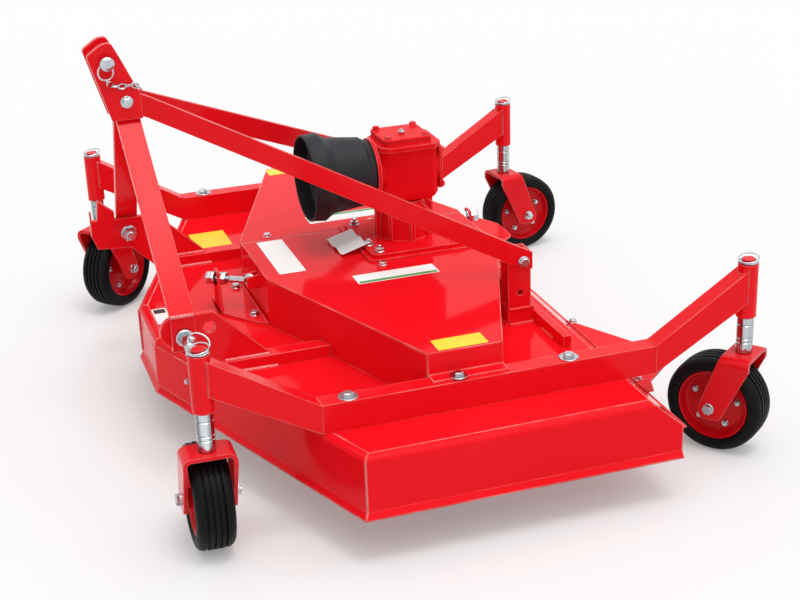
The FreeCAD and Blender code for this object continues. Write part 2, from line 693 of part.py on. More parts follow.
def make_gearbox():
    """Cast housing with round bosses and a wider rim, its lid and the flange for the guard."""
    x, y = "gearbox_width / 2", "gearbox_length / 2"
    body = new_body("gearbox_housing")
    pad(body, polygon(body, "XY", rectangle("-" + x, x, "-" + y, y), "gearbox_bottom"),
        "gearbox_top - gearbox_bottom")
    upright = "(gearbox_top + gearbox_bottom) / 2"
    fillet(body, "gearbox_corner_round", *[(a + x, b + y, upright)
                                           for a in ("", "-") for b in ("", "-")])
    fillet(body, "gearbox_round", ("0", y, "gearbox_bottom"))
    side, end = "gearbox_rim_width / 2", "gearbox_rim_length / 2"
    near_side, near_end = side + " - gearbox_rim_cut", end + " - gearbox_rim_cut"
    pad(body, polygon(body, "XY", [
        (near_side, "-" + end), (side, "-(%s)" % near_end), (side, near_end), (near_side, end),
        ("-(%s)" % near_side, end), ("-" + side, near_end), ("-" + side, "-(%s)" % near_end),
        ("-(%s)" % near_side, "-" + end),
    ], "gearbox_top - gearbox_rim"), "gearbox_rim")
    pad(body, circle(body, "XZ", "0", "shaft_height", "gearbox_boss_radius",
                     "-(%s + gearbox_boss)" % y), "gearbox_length + 2 * gearbox_boss")
    bore = circle(body, "XZ", "0", "shaft_height", "shaft_collar_diameter / 2 + shaft_clearance",
                  "%s + gearbox_boss" % y)
    pocket(body, bore, "shaft_bore_depth")
    node("gearbox_housing", body, y="gearbox_y")
    lid = new_body("gearbox_cover")
    x, y = "gearbox_cover_width / 2", "gearbox_cover_length / 2"
    top = "gearbox_top + gearbox_cover_height"
    pad(lid, polygon(lid, "XY", rectangle("-" + x, x, "-" + y, y), "gearbox_top"),
        "gearbox_cover_height")
    fillet(lid, "lid_corner_round", *[
        (a + x, b + y, "gearbox_top + gearbox_cover_height / 2")
        for a in ("", "-") for b in ("", "-")])
    fillet(lid, "lid_edge_round", ("0", y, top))
    node("gearbox_cover", lid, y="gearbox_y - gearbox_lead")
    flange = new_body("gearbox_flange")
    hole = "shaft_collar_diameter / 2 + shaft_clearance"
    revolve(flange, polygon(flange, "XY", [
        (hole, FLANGE_FACE), ("input_flange_radius", FLANGE_FACE),
        ("input_flange_radius", BOX_FACE), (hole, BOX_FACE),
    ]), "V_Axis")
    node("gearbox_flange", flange, z="shaft_height")


def make_stand():
    """Cast stand between the belt cover and the gearbox: base plate, upright drum, four ribs."""
    body = new_body("gearbox_stand")
    base = "(cover_top + stand_base)"
    x, y = "stand_base_half_width", "stand_base_half_length"
    pad(body, polygon(body, "XY", rectangle("-" + x, x, "-" + y, y), "cover_top"), "stand_base")
    fillet(body, "stand_base_round", *[(a + x, b + y, "cover_top + stand_base / 2")
                                       for a in ("", "-") for b in ("", "-")])
    revolve(body, polygon(body, "XZ", [
        ("0", "cover_top"), ("stand_foot_radius", "cover_top"), ("stand_foot_radius", base),
        ("stand_waist_radius", "stand_waist_height"), ("stand_neck_radius", "gearbox_bottom"),
        ("0", "gearbox_bottom"),
    ]), "V_Axis")
    rib = [("-stand_rib_reach", base), ("stand_rib_reach", base),
           ("stand_rib_reach", "stand_waist_height"), ("stand_neck_radius", "gearbox_bottom"),
           ("-stand_neck_radius", "gearbox_bottom"), ("-stand_rib_reach", "stand_waist_height")]
    for role in ("XZ", "YZ"):
        pad(body, polygon(body, role, rib), "stand_rib", midplane=True)
    node("gearbox_stand", body, y="gearbox_y - gearbox_lead")


def make_shaft():
    """Input shaft with a larger collar in the gearbox's bore."""
    body = new_body("pto_shaft")
    tip = SHOULDER_Y + " - shaft_reach"
    inner = BOX_FACE + " + shaft_bore_depth - end_gap"
    thin, thick = "shaft_diameter / 2", "shaft_collar_diameter / 2"
    revolve(body, polygon(body, "XY", [
        ("0", tip), (thin, tip), (thin, SHOULDER_Y), (thick, SHOULDER_Y), (thick, inner),
        ("0", inner),
    ]), "V_Axis")
    node("pto_shaft", body, z="shaft_height")


def make_guard():
    """Moulded bell that covers the input shaft, open to the front, bolted to the flange."""
    body = new_body("pto_guard")
    steps = [("guard_mouth_radius", "guard_mouth_y"), ("guard_lip_radius", "guard_lip_y"),
             ("guard_body_radius", "guard_body_y"), ("guard_waist_radius", "guard_waist_y"),
             ("guard_collar_radius", "guard_collar_y"), ("guard_rear_radius", FLANGE_FACE)]
    inside = [(radius + " - guard_sheet", y) for radius, y in steps]
    inside[-1] = ("guard_rear_radius - guard_sheet", FLANGE_FACE + " - guard_sheet")
    foot = [("guard_bolting_radius", FLANGE_FACE),
            ("guard_bolting_radius", FLANGE_FACE + " - guard_sheet")]
    revolve(body, polygon(body, "XY", steps + foot + inside[::-1]), "V_Axis")
    node("pto_guard", body, z="shaft_height")


def make_lug(end):
    """Upright lug on the deck with a hole for the tensioner's rod."""
    x, y = end + "_lug_x", end + "_lug_y"
    body = new_body(end + "_lug")
    pad(body, polygon(body, "XZ", [
        (x + " - lug_half_width", "deck_top"), (x + " + lug_half_width", "deck_top"),
        (x + " + lug_top_half_width", "lug_top"), (x + " - lug_top_half_width", "lug_top"),
    ], "-(%s + lug_sheet)" % y), "lug_sheet")
    hole = circle(body, "XZ", x, "rod_height", "rod_diameter / 2 + shaft_clearance",
                  "-(%s + lug_sheet / 2)" % y)
    pocket(body, hole, "2 * lug_sheet", midplane=True)
    return body


def make_rod(end, low, high):
    """Threaded rod with a nut on each side of its lug."""
    x, y = end + "_lug_x", end + "_lug_y"
    body = new_body(end + "_rod")
    pad(body, circle(body, "XZ", x, "rod_height", "rod_diameter / 2", "-(%s)" % high),
        "%s - (%s)" % (high, low))
    for nut_end in (y, y + " + lug_sheet + rod_nut_length"):
        pad(body, polygon(body, "XZ", hexagon("rod_nut", x, "rod_height"), "-(%s)" % nut_end),
            "rod_nut_length")
    return body


def make_tensioners():
    """Two rods that tighten the belts, one from each long side of the belt cover."""
    rear_face = cover_line("(-rear_lug_x)", COVER_END, "cover_rear_y", "cover_heel_y")
    node("tensioner_lugs", compound("lugs", [make_lug("front"), make_lug("rear")]))
    node("tensioner_rods", compound("rods", [
        make_rod("front", "front_lug_y - front_rod_end", "cover_front_y"),
        make_rod("rear", rear_face + " + rod_gap", "rear_lug_y + lug_sheet + rear_rod_end"),
    ]))


# ---------------------------------------------------------------- blades

def make_spindle_housings():
    """Three bearing housings bolted under the deck, bored for the blade shafts."""
    housings = []
    for name, x, y in BLADES:
        outer = cylinder(name + "_housing", "housing_radius",
                         "deck_top - deck_sheet - housing_bottom", x, y, "housing_bottom")
        flange = cylinder(name + "_flange", "housing_flange_radius", "housing_flange", x, y,
                          "deck_top - deck_sheet - housing_flange")
        bore = cylinder(name + "_bore", "rotor_shaft_diameter / 2 + shaft_clearance",
                        "rotor_shaft_top + end_gap - housing_bottom", x, y, "housing_bottom")
        housings.append(cut(name + "_bored", fuse(name + "_body", [outer, flange]), bore))
    node("blade_spindle_housings", compound("housings", housings))


def make_rotor(name, x, y):
    """Blade shaft, its clamp disc and the flat blade bar below."""
    body = new_body(name)
    low = "blade_height - blade_sheet / 2"
    half_length, half_width = "blade_length / 2", "blade_width / 2"
    pad(body, polygon(body, "XY", [
        ("-" + half_length, "-" + half_width), (half_length, "-" + half_width),
        (half_length, half_width), ("-" + half_length, half_width),
    ], low), "blade_sheet")
    pad(body, circle(body, "XY", "0", "0", "rotor_disc_radius", "blade_height"),
        "housing_bottom - rotor_gap - blade_height")
    pad(body, circle(body, "XY", "0", "0", "rotor_shaft_diameter / 2", "blade_height"),
        "rotor_shaft_top - blade_height")
    node(name, body, x, y)


BLADES = (
    ("front", "0", "front_blade_y"),
    ("left", "blade_half_track", "rear_blade_y"),
    ("right", "-blade_half_track", "rear_blade_y"),
)


# ---------------------------------------------------------------- casters

def make_caster(name, x, y):
    """Fork, its hardware, rim and tyre; the spindle axis is the pieces' own Z axis."""
    heading = "heading_" + name
    node("caster_fork_" + name, make_fork(), x, y, heading=heading)
    node("caster_hardware_" + name, make_hardware(), x, y, heading=heading)
    node("wheel_rim_" + name, make_rim(), x, y, heading=heading)
    node("tyre_" + name, make_tyre(), x, y, heading=heading)


def make_fork():
    """Flat bar bent to an upside-down U, its legs trailing, with the spindle welded on top."""
    body = new_body("fork")
    half, inside, under = "fork_width / 2", "fork_inside / 2", "fork_top - fork_sheet"
    outside = "(fork_inside / 2 + fork_sheet)"
    eye_low, eye_rear = "wheel_radius - fork_eye", "fork_trail + fork_eye"
    pad(body, polygon(body, "XZ", [
        ("-" + half, "fork_top"), (half, "fork_top"), (eye_rear, "wheel_radius"),
        (eye_rear, eye_low), ("fork_trail - fork_eye", eye_low),
        ("-" + half, under + " - fork_bend"),
    ]), "2 * " + outside, midplane=True)
    gap = rectangle("-" + inside, inside, "wheel_radius - 2 * fork_eye", under)
    pocket(body, polygon(body, "YZ", gap), "4 * fork_trail + 2 * fork_width", midplane=True)
    eyes = [(x, side + "(%s + fork_sheet / 2)" % inside, eye_low)
            for x in (eye_rear, "fork_trail - fork_eye") for side in ("", "-")]
    fillet(body, "fork_eye_round", *eyes)
    fillet(body, "fork_bend", ("0", outside, "fork_top"), ("0", "-" + outside, "fork_top"))
    slope = "(%s - %s) * fork_sheet / (fork_top - wheel_radius)" % (eye_rear, half)
    fillet(body, "fork_bend - fork_sheet", *[
        ("(%s) / 2" % slope, side + inside, under) for side in ("", "-")])
    pad(body, circle(body, "XY", "0", "0", "spindle_diameter / 2", under),
        "tube_top + cap_height - end_gap - (%s)" % under)
    pocket(body, circle(body, "XZ", "fork_trail", "wheel_radius",
                        "axle_diameter / 2 + shaft_clearance"), "4 * " + outside, midplane=True)
    return body


def make_hardware():
    """Plated spacer stack under the tube, retaining cap above it, and the wheel's axle bolt."""
    bore = "spindle_diameter / 2 + shaft_clearance"
    stack = cut("spacer_stack",
                cylinder("stack_outer", "spacer_diameter / 2",
                         "tube_bottom - end_gap - fork_top", z="fork_top"),
                cylinder("stack_bore", bore, "tube_bottom - end_gap - fork_top", z="fork_top"))
    cap = cut("retaining_cap",
              cylinder("cap_outer", "cap_diameter / 2", "cap_height - end_gap",
                       z="tube_top + end_gap"),
              cylinder("cap_bore", bore, "cap_height - 2 * end_gap", z="tube_top + end_gap"))
    body = new_body("axle")
    half = "(fork_inside / 2 + fork_sheet)"
    pad(body, circle(body, "XZ", "fork_trail", "wheel_radius", "axle_diameter / 2"),
        "2 * (%s + axle_head)" % half, midplane=True)
    for start in (half, "-%s - axle_head" % half):
        pad(body, circle(body, "XZ", "fork_trail", "wheel_radius", "axle_head_radius", start),
            "axle_head")
    return compound("caster_hardware", [stack, cap, body])


def wheel_profile(points):
    """Turn a profile of (distance along the axle, radius) pairs into a wheel piece."""
    mirror = [("-(%s)" % along, radius) for along, radius in reversed(points)]
    body = new_body("wheel_piece")
    revolve(body, polygon(body, "YZ", points + mirror), "H_Axis")
    bind(body, Placement__Base__x="fork_trail", Placement__Base__z="wheel_radius")
    return compound("wheel", [body])


def make_tyre():
    half = "tyre_width / 2"
    return wheel_profile([
        ("rim_width / 2", "rim_radius"), (half, "rim_radius + tyre_bead"),
        (half, "wheel_radius - tyre_shoulder_drop"),
        (half + " - tyre_crown", "wheel_radius - tyre_edge_drop"),
        (half + " - tyre_tread_inset", "wheel_radius"),
    ])


def make_rim():
    wide, web = "rim_width / 2", "rim_web / 2"
    return wheel_profile([
        ("hub_length / 2", "hub_bore / 2"), ("hub_length / 2", "hub_radius"),
        (web, "hub_radius"), (web, "rim_radius - rim_sheet - rim_taper"),
        (wide, "rim_radius - rim_sheet"), (wide, "rim_radius"),
    ])


def make_all():
    make_deck()
    node("rear_deflector_left", make_deflector("rear_deflector_left"))
    node("rear_deflector_right", make_deflector("rear_deflector_right"),
         "-deflector_spacing")
    both_sides("side_beam", make_side_beam)
    make_caster_tubes()
    make_left_hitch_plate()
    make_right_hitch_plate()
    both_sides("lower_hitch_pin", make_hitch_pin)
    both_sides("hitch_rail", make_rail)
    both_sides("mast_leg", make_leg)
    both_sides("mast_plate", make_mast_plate)
    make_top_pin()
    both_sides("mast_brace", make_brace)
    both_sides("rear_post", make_rear_post)
    make_cross_bar()
    make_belt_cover("belt_cover_left", "", "cover_seam_x")
    make_belt_cover("belt_cover_right", "-", "cover_seam_x - cover_gap")
    make_gearbox()
    make_stand()
    make_shaft()
    make_guard()
    make_tensioners()
    make_spindle_housings()
    for name, x, y in BLADES:
        make_rotor("blade_rotor_" + name, x, y)
    for end in ("front", "rear"):
        make_caster(end + "_left", "caster_half_track", end + "_caster_y")
        make_caster(end + "_right", "-caster_half_track", end + "_caster_y")


make_all()
doc.recompute()
for thing in doc.Objects:
    if any(state in ("Invalid", "Error") for state in thing.State):
        raise ValueError("%s failed: %s" % (thing.Label, thing.State))
os.makedirs("parts", exist_ok=True)
for label, thing in nodes.items():
    if thing.Shape.isNull() or not thing.Shape.isValid():
        raise ValueError(label + " has no valid shape")
    thing.Shape.exportStep("parts/%s.step" % label)
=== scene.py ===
import json
import math

import bmesh
import bpy
from mathutils import Matrix, Vector


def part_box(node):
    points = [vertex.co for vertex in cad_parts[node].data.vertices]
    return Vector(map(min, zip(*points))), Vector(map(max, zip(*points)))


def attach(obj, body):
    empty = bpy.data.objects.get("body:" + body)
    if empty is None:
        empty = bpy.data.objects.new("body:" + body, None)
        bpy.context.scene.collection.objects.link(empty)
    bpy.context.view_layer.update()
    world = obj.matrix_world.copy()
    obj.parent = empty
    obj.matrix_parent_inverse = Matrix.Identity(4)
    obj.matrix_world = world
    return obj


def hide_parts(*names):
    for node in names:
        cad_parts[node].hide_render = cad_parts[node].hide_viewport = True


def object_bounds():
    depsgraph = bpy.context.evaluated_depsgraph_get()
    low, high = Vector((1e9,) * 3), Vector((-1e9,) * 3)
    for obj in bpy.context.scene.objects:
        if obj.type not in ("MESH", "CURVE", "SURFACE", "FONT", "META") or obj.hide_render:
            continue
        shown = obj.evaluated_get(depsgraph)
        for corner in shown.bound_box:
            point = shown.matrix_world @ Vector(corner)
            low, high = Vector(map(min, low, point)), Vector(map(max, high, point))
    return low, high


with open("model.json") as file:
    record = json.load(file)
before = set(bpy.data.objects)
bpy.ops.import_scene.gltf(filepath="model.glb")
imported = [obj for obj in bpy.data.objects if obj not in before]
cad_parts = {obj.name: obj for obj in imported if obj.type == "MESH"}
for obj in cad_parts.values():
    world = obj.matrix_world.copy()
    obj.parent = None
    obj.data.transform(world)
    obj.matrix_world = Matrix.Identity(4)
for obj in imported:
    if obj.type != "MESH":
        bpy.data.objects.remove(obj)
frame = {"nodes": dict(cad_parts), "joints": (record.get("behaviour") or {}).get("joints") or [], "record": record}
cad_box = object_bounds()


# ---- Deck
# The cutting deck: 4 mm sheet steel with its skirt folded down round the edge and welded at
# the mitres, then degreased and sprayed with gloss enamel.

def linear(hex_colour):
    """sRGB hex to the linear RGBA that a shader socket takes."""
    out = []
    for i in (0, 2, 4):
        c = int(hex_colour[i:i + 2], 16) / 255
        out.append(c / 12.92 if c <= 0.04045 else ((c + 0.055) / 1.055) ** 2.4)
    return (*out, 1.0)


def surface(name, **settings):
    """A material with these values on its shader's own sockets, and that shader."""
    made = bpy.data.materials.new(name)
    made.use_nodes = True
    shader = made.node_tree.nodes["Principled BSDF"]
    for socket, value in settings.items():
        shader.inputs[socket.replace("_", " ")].default_value = value
    return made, shader


def add(material, kind, settings=None, links=None):
    """One shader node: settings are its sockets or properties, links the outputs that feed it."""
    made = material.node_tree.nodes.new(kind)
    for key, value in (settings or {}).items():
        if isinstance(key, int) or key in made.inputs:
            made.inputs[key].default_value = value
        else:
            setattr(made, key, value)
    for key, output in (links or {}).items():
        material.node_tree.links.new(output, made.inputs[key])
    return made


def mottle(material, shader, size, low, high, socket="Base Color", drawn=1.0):
    """Lets a socket drift between two values over patches of a size in metres.

    The patches are stretched upwards by a factor, into streaks along a part that stands upright.
    """
    place = add(material, "ShaderNodeTexCoord")
    grid = add(material, "ShaderNodeMapping", {"Scale": (1, 1, 1 / drawn)},
               {"Vector": place.outputs["Object"]})
    cloud = add(material, "ShaderNodeTexNoise", {"Scale": 1 / size, "Detail": 3.0},
                {"Vector": grid.outputs["Vector"]})
    ramp = add(material, "ShaderNodeValToRGB", {}, {"Fac": cloud.outputs["Fac"]})
    ramp.color_ramp.elements[0].position = 0.3
    ramp.color_ramp.elements[1].position = 0.7
    ramp.color_ramp.elements[0].color = low
    ramp.color_ramp.elements[1].color = high
    material.node_tree.links.new(ramp.outputs["Color"], shader.inputs[socket])


def relief(material, shader, size, depth, edge=0.0, detail=2.0):
    """Bumps of the given size and depth in metres, on edges that catch light over a radius."""
    place = add(material, "ShaderNodeTexCoord")
    grain = add(material, "ShaderNodeTexNoise", {"Scale": 1 / size, "Detail": detail},
                {"Vector": place.outputs["Object"]})
    bump = add(material, "ShaderNodeBump", {"Distance": depth, "Strength": 1.0},
               {"Height": grain.outputs["Fac"]})
    if edge:
        rounded = add(material, "ShaderNodeBevel", {"samples": 6, "Radius": edge})
        material.node_tree.links.new(rounded.outputs["Normal"], bump.inputs["Normal"])
    material.node_tree.links.new(bump.outputs["Normal"], shader.inputs["Normal"])


def paint_edge_highlights(material, shader, radius, pale, strength, patch_size=0.06):
    """Paints a pale highlight along each fold and cut edge, in patches, in place of light on it.

    The painted highlight starts where the rounded edge turns by 10 degrees and is full at 33 degrees.
    """
    base = shader.inputs["Base Color"].links[0].from_socket
    place = add(material, "ShaderNodeTexCoord")
    highlight_patches = add(material, "ShaderNodeTexNoise", {"Scale": 1 / patch_size, "Detail": 2.0},
               {"Vector": place.outputs["Object"]})
    highlight_strength = add(material, "ShaderNodeMapRange",
               {"From Min": 0.4, "From Max": 0.62, "To Min": strength * 0.35, "To Max": strength},
               {"Value": highlight_patches.outputs["Fac"]})
    rounded = add(material, "ShaderNodeBevel", {"samples": 8, "Radius": radius})
    flat = add(material, "ShaderNodeNewGeometry")
    turn = add(material, "ShaderNodeVectorMath", {"operation": "DOT_PRODUCT"},
               {0: rounded.outputs["Normal"], 1: flat.outputs["True Normal"]})
    share = add(material, "ShaderNodeMapRange",
                {"From Min": 0.985, "From Max": 0.84, "To Min": 0.0},
                {"Value": turn.outputs["Value"], "To Max": highlight_strength.outputs["Result"]})
    blend = add(material, "ShaderNodeMix", {"data_type": "RGBA", 7: linear(pale)},
                {0: share.outputs["Result"], 6: base})
    material.node_tree.links.new(blend.outputs[2], shader.inputs["Base Color"])


def grey(value):
    """The colour that gives a plain value to a socket such as Roughness."""
    return (value, value, value, 1.0)


nodes = frame["nodes"]


def both(name):
    """The names of a left and right pair of CAD nodes."""
    return name + "_left", name + "_right"


def coat(material, *names):
    """Gives CAD nodes this material in place of their own."""
    for name in names:
        nodes[name].data.materials.clear()
        nodes[name].data.materials.append(material)


# Gloss enamel on folded sheet: a wet-looking red with a faint orange peel about 4 mm across.
# A bright line runs along each rounded fold, partly from the light and partly a painted highlight.
sheet_enamel, shader = surface("gloss_enamel_on_folded_sheet", IOR=1.5, Specular_IOR_Level=0.06)
mottle(sheet_enamel, shader, 0.35, linear("E8111C"), linear("EE1823"))
mottle(sheet_enamel, shader, 0.06, grey(0.07), grey(0.12), "Roughness")
relief(sheet_enamel, shader, 0.004, 0.000012, edge=0.005)
paint_edge_highlights(sheet_enamel, shader, 0.0055, "FFC8C0", 0.6)

coat(sheet_enamel, "deck_top", "deck_front", "deck_rear", *both("deck_slant"), *both("deck_side"),
     *both("rear_deflector"), *both("belt_cover"))


def build(name, body, material, parts, crease=32):
    """Joins parts, each (points, faces), into one piece that rides on a body."""
    points, faces = [], []
    for part_points, part_faces in parts:
        start = len(points)
        points.extend(part_points)
        faces.extend([start + i for i in face] for face in part_faces)
    mesh = bpy.data.meshes.new(name)
    mesh.from_pydata(points, [], faces)
    work = bmesh.new()
    work.from_mesh(mesh)
    bmesh.ops.recalc_face_normals(work, faces=work.faces)
    work.to_mesh(mesh)
    work.free()
    mesh.shade_smooth()
    mesh.set_sharp_from_angle(angle=math.radians(crease))
    mesh.materials.append(material)
    piece = bpy.data.objects.new(name, mesh)
    bpy.context.scene.collection.objects.link(piece)
    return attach(piece, body)


UP = Vector((0, 0, 1))
REAR = Vector((0, 1, 0))
LEFT = Vector((1, 0, 0))


def slab(outline, thickness, origin, across=LEFT, along=REAR):
    """A flat plate: an outline in its own two directions, made thick towards their normal."""
    normal = across.cross(along).normalized()
    flat = [origin + across * u + along * v for u, v in outline]
    count = len(flat)
    sides = [[i, (i + 1) % count, count + (i + 1) % count, count + i] for i in range(count)]
    return (flat + [p + normal * thickness for p in flat],
            [list(range(count))[::-1], list(range(count, 2 * count))] + sides)


def rounded(width, length, radius, corner=5):
    """A rectangle's outline about its middle, with round corners."""
    outline = []
    for quarter, (sx, sy) in enumerate(((1, 1), (-1, 1), (-1, -1), (1, -1))):
        for step in range(corner + 1):
            angle = math.radians(90 * quarter + 90 * step / corner)
            outline.append((sx * (width / 2 - radius) + radius * math.cos(angle),
                            sy * (length / 2 - radius) + radius * math.sin(angle)))
    return outline


# The nose plate's ends lap over the slanted skirts: a 3 mm sheet with one plated screw.
lap_run = 0.142
lap_sheet = 0.003
lap_gap = 0.0002
lap_foot_rise = 0.016
lap_head_drop = 0.013
lap_from_middle = 0.1
lap_probe_rise = 0.04
lap_screw_in = 0.013
lap_screw_share = 0.55
deck_low, deck_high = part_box("deck_top")
lap_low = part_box("deck_slant_left")[0].z + lap_foot_rise
lap_height = deck_high.z - lap_head_drop - lap_low
laps, lap_screws = [], []
for side, name in ((-1, "deck_slant_right"), (1, "deck_slant_left")):
    inner, outer = (nodes[name].ray_cast(Vector((side * x, -1, lap_low + lap_probe_rise)), REAR)[1]
                    for x in (0.15, 0.45))
    along = (outer - inner).normalized()
    corner = inner - along * ((inner.x * side - lap_from_middle) / abs(along.x))
    corner.z = lap_low
    out = Vector((along.y * side, -along.x * side, 0))
    laps.append(slab([(0, 0), (lap_run, 0), (lap_run, lap_height), (0, lap_height)],
                     lap_sheet * (1 if along.cross(UP).dot(out) > 0 else -1),
                     corner + out * lap_gap, along, UP))
    lap_screws.append((corner + along * (lap_run - lap_screw_in)
                       + UP * lap_height * lap_screw_share + out * lap_sheet, out))
build("nose_laps", "mower_frame", sheet_enamel, laps)


# ---- Plated fasteners
# Bolts, nuts and washers: cold-headed steel, zinc plated and clear passivated. They are bright
# with a bluish cast, and their soft plating scatters the light a little. Its grain is finer
# than a millimetre, and drawn at 1.5 mm so that it shows.
zinc, shader = surface("zinc_plated_steel", Metallic=1.0)
mottle(zinc, shader, 0.012, linear("B4BBC1"), linear("CDD2D6"))
mottle(zinc, shader, 0.004, grey(0.14), grey(0.22), "Roughness")
relief(zinc, shader, 0.0015, 0.000006)


def turned(centre, axis, profile, steps=28, ring=False, spin=0.0):
    """Turns (distance along the axis, radius) pairs about an axis through centre."""
    axis = Vector(axis).normalized()
    side = axis.orthogonal().normalized()
    third = axis.cross(side)
    points, faces = [], []
    for along, radius in profile:
        for step in range(steps):
            angle = spin + 2 * math.pi * step / steps
            points.append(Vector(centre) + axis * along
                          + (side * math.cos(angle) + third * math.sin(angle)) * radius)
    rows = len(profile)
    for row in range(rows if ring else rows - 1):
        first, second = row * steps, (row + 1) % rows * steps
        faces += [[first + s, first + (s + 1) % steps, second + (s + 1) % steps, second + s]
                  for s in range(steps)]
    if not ring:
        faces += [list(range(steps))[::-1], [(rows - 1) * steps + s for s in range(steps)]]
    return points, faces


def hexagon(centre, axis, across, height, spin=0.0):
    """A hexagon head or nut with its corners chamfered."""
    corner = across / math.sqrt(3)
    return turned(centre, axis, [(0, corner * 0.97), (height * 0.08, corner),
                                 (height * 0.8, corner), (height, corner * 0.87)], 6, spin=spin)


def bolt(foot, axis, thread, washer=2.1, spin=0.3, shank=0.0):
    """A hexagon bolt on its washer, in the usual proportions to its thread; shank shows above."""
    axis = Vector(axis).normalized()
    plate, head, rim = thread * 0.2, thread * 0.62, thread * washer / 2
    top = plate + head
    parts = [turned(foot, axis, [(0, rim), (plate * 0.7, rim), (plate, rim - plate * 0.3)]),
             hexagon(Vector(foot) + axis * plate, axis, thread * 1.6, head, spin)]
    if shank:
        parts.append(turned(foot, axis, [(top - thread * 0.1, thread * 0.46),
                                         (top + shank, thread * 0.46),
                                         (top + shank + thread * 0.08, thread * 0.36)], 16))
    else:
        parts.append(turned(foot, axis, [(top - thread * 0.1, thread * 0.62),
                                         (top + thread * 0.03, thread * 0.6)], 20))
    return parts


def land(node, point, along, run_up=0.3):
    """The point where a line through this one meets a CAD node, from a run-up before it."""
    hit, place, _, _ = nodes[node].ray_cast(Vector(point) - Vector(along) * run_up, Vector(along))
    if not hit:
        raise ValueError("nothing of %s under %s" % (node, tuple(point)))
    return place


lap_thread = 0.006
deflector_thread = 0.009
deflector_bolt_in = (0.018, 0.342)
deflector_bolt_back = 0.009
fasteners = []
for place, out in lap_screws:
    fasteners += bolt(place, out, lap_thread)
for name in both("rear_deflector"):
    low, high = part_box(name)
    for inset in deflector_bolt_in:
        spot = (low.x + inset, low.y + deflector_bolt_back, high.z)
        fasteners += bolt(land(name, spot, -UP), UP, deflector_thread)
build("deck_fasteners", "mower_frame", zinc, fasteners)


# ---- Blank labels
# Printed vinyl stickers, here left blank: cut sheets 0.3 mm thick with rounded corners, pressed
# flat on the enamel. Satin, with the faint grain of the film.
def vinyl(name, low, high):
    """Film in one colour that drifts a little; its fine grain is drawn at 1.5 mm to show."""
    made, shader = surface(name, IOR=1.48, Roughness=0.35)
    mottle(made, shader, 0.03, linear(low), linear(high))
    relief(made, shader, 0.0015, 0.00002)
    return made


white_vinyl = vinyl("white_vinyl_film", "F6F5F4", "FDFDFC")
yellow_vinyl = vinyl("yellow_vinyl_film", "EBD21C", "F4DE35")
green_vinyl = vinyl("green_vinyl_film", "3E9A5A", "57AE6C")
black_vinyl = vinyl("black_vinyl_film", "1A1A1B", "232325")


sticker_sheet = 0.0003
sticker_corner = 0.003
sticker_gap = 0.0001
band_lift = 0.0001


def sticker(name, node, material, middle, width, length, lift=0.0):
    """A label lying on the top face of a CAD node, its middle at (x, y)."""
    place = land(node, (*middle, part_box(node)[1].z), -UP)
    outline = rounded(width, length, min(sticker_corner, width / 3, length / 3))
    build(name, "mower_frame", material,
          [slab(outline, sticker_sheet, place + UP * (lift + sticker_gap))])


cover_low, cover_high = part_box("belt_cover_left")
right_low, right_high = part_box("belt_cover_right")
sticker("front_cover_label", "belt_cover_left", white_vinyl,
        (cover_low.x + 0.117, cover_low.y + 0.063), 0.214, 0.060)
sticker("side_strip_label", "belt_cover_left", white_vinyl,
        (cover_low.x + 0.322, cover_low.y + 0.268), 0.052, 0.184)
sticker("side_strip_band", "belt_cover_left", green_vinyl,
        (cover_low.x + 0.340, cover_low.y + 0.268), 0.012, 0.178, band_lift)
sticker("rear_yellow_label", "belt_cover_left", yellow_vinyl,
        (cover_high.x - 0.061, cover_low.y + 0.268), 0.050, 0.104)
sticker("far_strip_label", "belt_cover_right", white_vinyl,
        (right_high.x - 0.087, right_low.y + 0.275), 0.052, 0.184)
sticker("far_strip_band", "belt_cover_right", green_vinyl,
        (right_high.x - 0.105, right_low.y + 0.275), 0.012, 0.178, band_lift)
sticker("far_corner_label", "belt_cover_right", yellow_vinyl,
        (right_low.x + 0.061, right_low.y + 0.215), 0.050, 0.060)
sticker("far_deck_label", "deck_top", yellow_vinyl,
        (deck_low.x + 0.316, deck_low.y + 0.225), 0.114, 0.090)
sticker("nose_label", "deck_top", white_vinyl, (-0.018, deck_low.y + 0.018), 0.090, 0.032)
sticker("nose_label_band", "deck_top", black_vinyl, (-0.046, deck_low.y + 0.018), 0.024, 0.026,
        band_lift)


# ---- Side beams and caster tubes
# Rectangular tube cut and welded at two cranks on each side, with a drawn tube welded across
# each arm's end for the caster's spindle. Same enamel, over a smoother rolled surface.
bar_enamel, shader = surface("gloss_enamel_on_rolled_bar", IOR=1.5, Specular_IOR_Level=0.12)
mottle(bar_enamel, shader, 0.25, linear("E7111C"), linear("ED1621"))
mottle(bar_enamel, shader, 0.05, grey(0.09), grey(0.15), "Roughness")
relief(bar_enamel, shader, 0.0035, 0.000012, edge=0.0035)
# Painted highlight: a pale colour along the bar's edges and folds.
paint_edge_highlights(bar_enamel, shader, 0.0035, "FFC4BC", 0.5)

coat(bar_enamel, "caster_tubes", "rear_cross_bar", "tensioner_lugs", *both("side_beam"),
     *both("hitch_plate"), *both("hitch_rail"), *both("mast_leg"), *both("mast_plate"),
     *both("mast_brace"), *both("rear_post"))

ripple = 0.0045
ripple_steps = 3
throat = 0.0035


